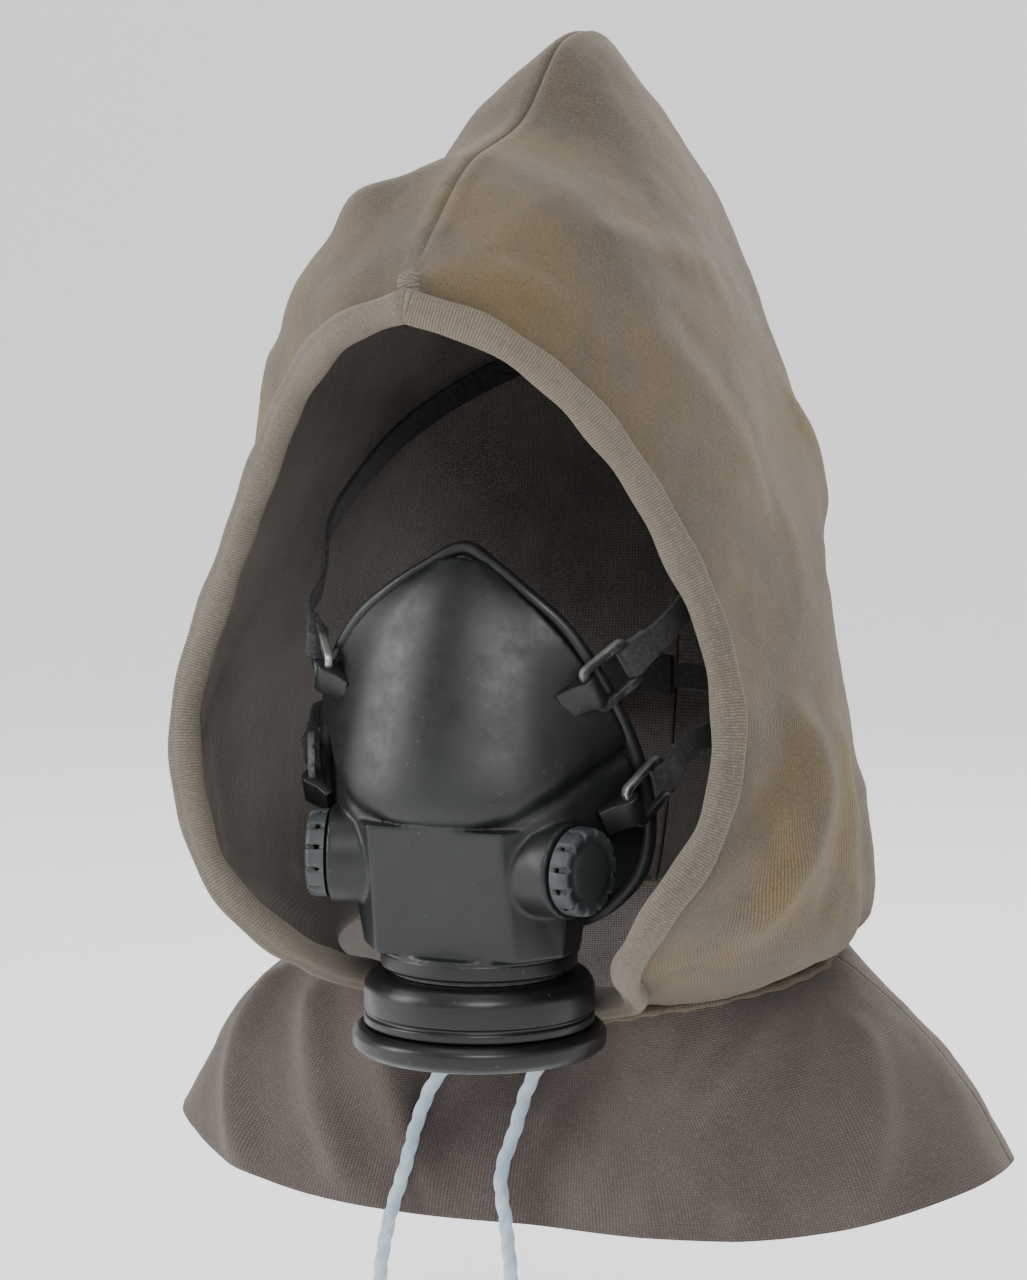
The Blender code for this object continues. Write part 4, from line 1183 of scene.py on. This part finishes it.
def rounded_rectangle(length, width, radius, steps=6):
    corners = [(1, 1, 0), (-1, 1, 90), (-1, -1, 180), (1, -1, 270)]
    outline = []
    for sx, sy, start in corners:
        for step in range(steps + 1):
            turn = math.radians(start + 90 * step / steps)
            outline.append((sx * (length / 2 - radius) + radius * math.cos(turn),
                            sy * (width / 2 - radius) + radius * math.sin(turn)))
    return outline


def add_buckle(height, side):
    """A cast ring with a rounded section: its loops run round the bar's own profile."""
    middle, along, across, out = buckle_frame(height, side)
    profile = [(0.0, 0.6), (0.06, 0.88), (0.16, 1.0), (0.5, 1.04), (0.84, 1.0), (0.94, 0.88),
               (1.0, 0.6), (1.0, -0.6), (0.94, -0.88), (0.84, -1.0), (0.16, -1.0),
               (0.06, -0.88), (0.0, -0.6)]
    half = BUCKLE_THICK / 2
    verts = []
    for inset, level in profile:
        step = 2 * BUCKLE_BAR * inset
        loop = rounded_rectangle(BUCKLE_LENGTH - step, BUCKLE_WIDTH - step, 3.4 - 1.9 * inset)
        verts += [middle + along * u + across * v + out * (half * level) for u, v in loop]
    faces = loft_faces(len(verts) // len(profile), len(profile), True)
    name = "%s_%s" % (height, SIDE_NAMES[side])
    made = finish_mesh("buckle_ring_" + name, verts, faces, LOOKS["buckle_metal"], None, 45)
    fit(made, "buckle_" + name, "buckle_metal", "buckle_" + name)


def wrap_outline(length):
    arc = [math.radians(90 + 180 * s / 14) for s in range(15)]
    outline = [(length, 1.7), (length * 0.75, 1.75), (5.2, 2.0), (3.4, 2.7), (1.6, 3.35)]
    outline += [(WRAP_OUTER * math.cos(t), WRAP_OUTER * math.sin(t)) for t in arc]
    outline += [(1.6, -3.35), (3.4, -2.7), (5.2, -2.0), (length * 0.75, -1.75), (length, -1.7)]
    return outline


def add_wrap(name, bar, tail, across, length, look, width):
    out = across.cross(tail)
    outline = wrap_outline(length)
    verts, uvs = [], []
    for level in (width / 2, -width / 2):
        verts += [bar + tail * u + out * v + across * level for u, v in outline]
        uvs += [(u / 10, level / width + 0.5) for u, v in outline]
    made = finish_mesh(name, verts, loft_faces(len(outline), 2), look, uvs, 40)
    settle(made, 0.45, 2)
    made.data.shade_smooth()
    made.data.set_sharp_from_angle(angle=math.radians(50))
    return made


def add_lug_and_loop(height, side):
    middle, along, across, out = buckle_frame(height, side)
    name = "%s_%s" % (height, SIDE_NAMES[side])
    near, far = middle - along * BAR_REACH, middle + along * BAR_REACH
    tail = -along * math.cos(LUG_DIP) - out * math.sin(LUG_DIP)
    lug = add_wrap("lug_tab_" + name, near, tail, across, WRAP_LENGTH + 2,
                   LOOKS["moulded_rubber"], WRAP_WIDTH)
    fit(lug, "facepiece", "moulded_rubber", "lug_" + name)
    loop = add_wrap("loop_web_" + name, far, along, across, WRAP_LENGTH, LOOKS["strap_webbing"],
                    WRAP_WIDTH)
    fit(loop, "buckle_" + name, "strap_webbing", "strap_loop_" + name)


def add_strap(height, side):
    middle, along, _, out = buckle_frame(height, side)
    start = middle + along * (BAR_REACH + WRAP_LENGTH - 0.8)
    route = [start, start + along * (4 + STRAP_GAP)]
    route += [sided(p, side) for p in STRAP_ROUTES[height]]
    path = evenly(smooth_path(route), 90)
    section = [(-4.5, 0.5), (-4.2, 0.9), (4.2, 0.9), (4.5, 0.5), (4.5, -0.5), (4.2, -0.9),
               (-4.2, -0.9), (-4.5, -0.5)]
    verts, uvs = [], []
    run = 0.0
    for i, point in enumerate(path):
        ahead = (path[min(i + 1, 89)] - path[max(i - 1, 0)]).normalized()
        share = min(1.0, i / 14)
        radial = out.lerp(Vector((point.x, point.y, 0)).normalized(), share)
        face = (radial - ahead * radial.dot(ahead)).normalized()
        wide = ahead.cross(face)
        run += (point - path[i - 1]).length if i else 0
        for u, v in section:
            verts.append(point + wide * u + face * v)
            uvs.append((run / 10, u / 9 + 0.5))
    faces = loft_faces(len(section), len(path))
    name = "%s_%s" % (height, SIDE_NAMES[side])
    made = finish_mesh("strap_web_" + name, verts, faces, LOOKS["strap_webbing"], uvs, 40)
    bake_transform(made)
    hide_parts("strap_" + name)


# ------------------------------------------------------------------ the rest

def dress_frame():
    """Materials for the CAD pieces whose shape is already right."""
    slots = {s["node"]: s["material_slot"] for s in frame["record"]["subparts"]}
    for node, thing in frame["nodes"].items():
        look = LOOKS.get(slots[node], LOOKS["moulded_rubber"])
        thing.data.materials.clear()
        thing.data.materials.append(look)


def main():
    add_camera()
    for side in ("left", "right"):
        add_drawstring(side)
    add_stage()
    dress_frame()
    for side in (1, -1):
        hood_panel(side)
    add_hem()
    add_brow_tab()
    add_neck_seam()
    add_bib()
    add_moulding()
    add_seal()
    add_canister()
    for side in (1, -1):
        add_valve_cover(side)
        for height in BUCKLES:
            add_buckle(height, side)
            add_lug_and_loop(height, side)
            add_strap(height, side)


main()
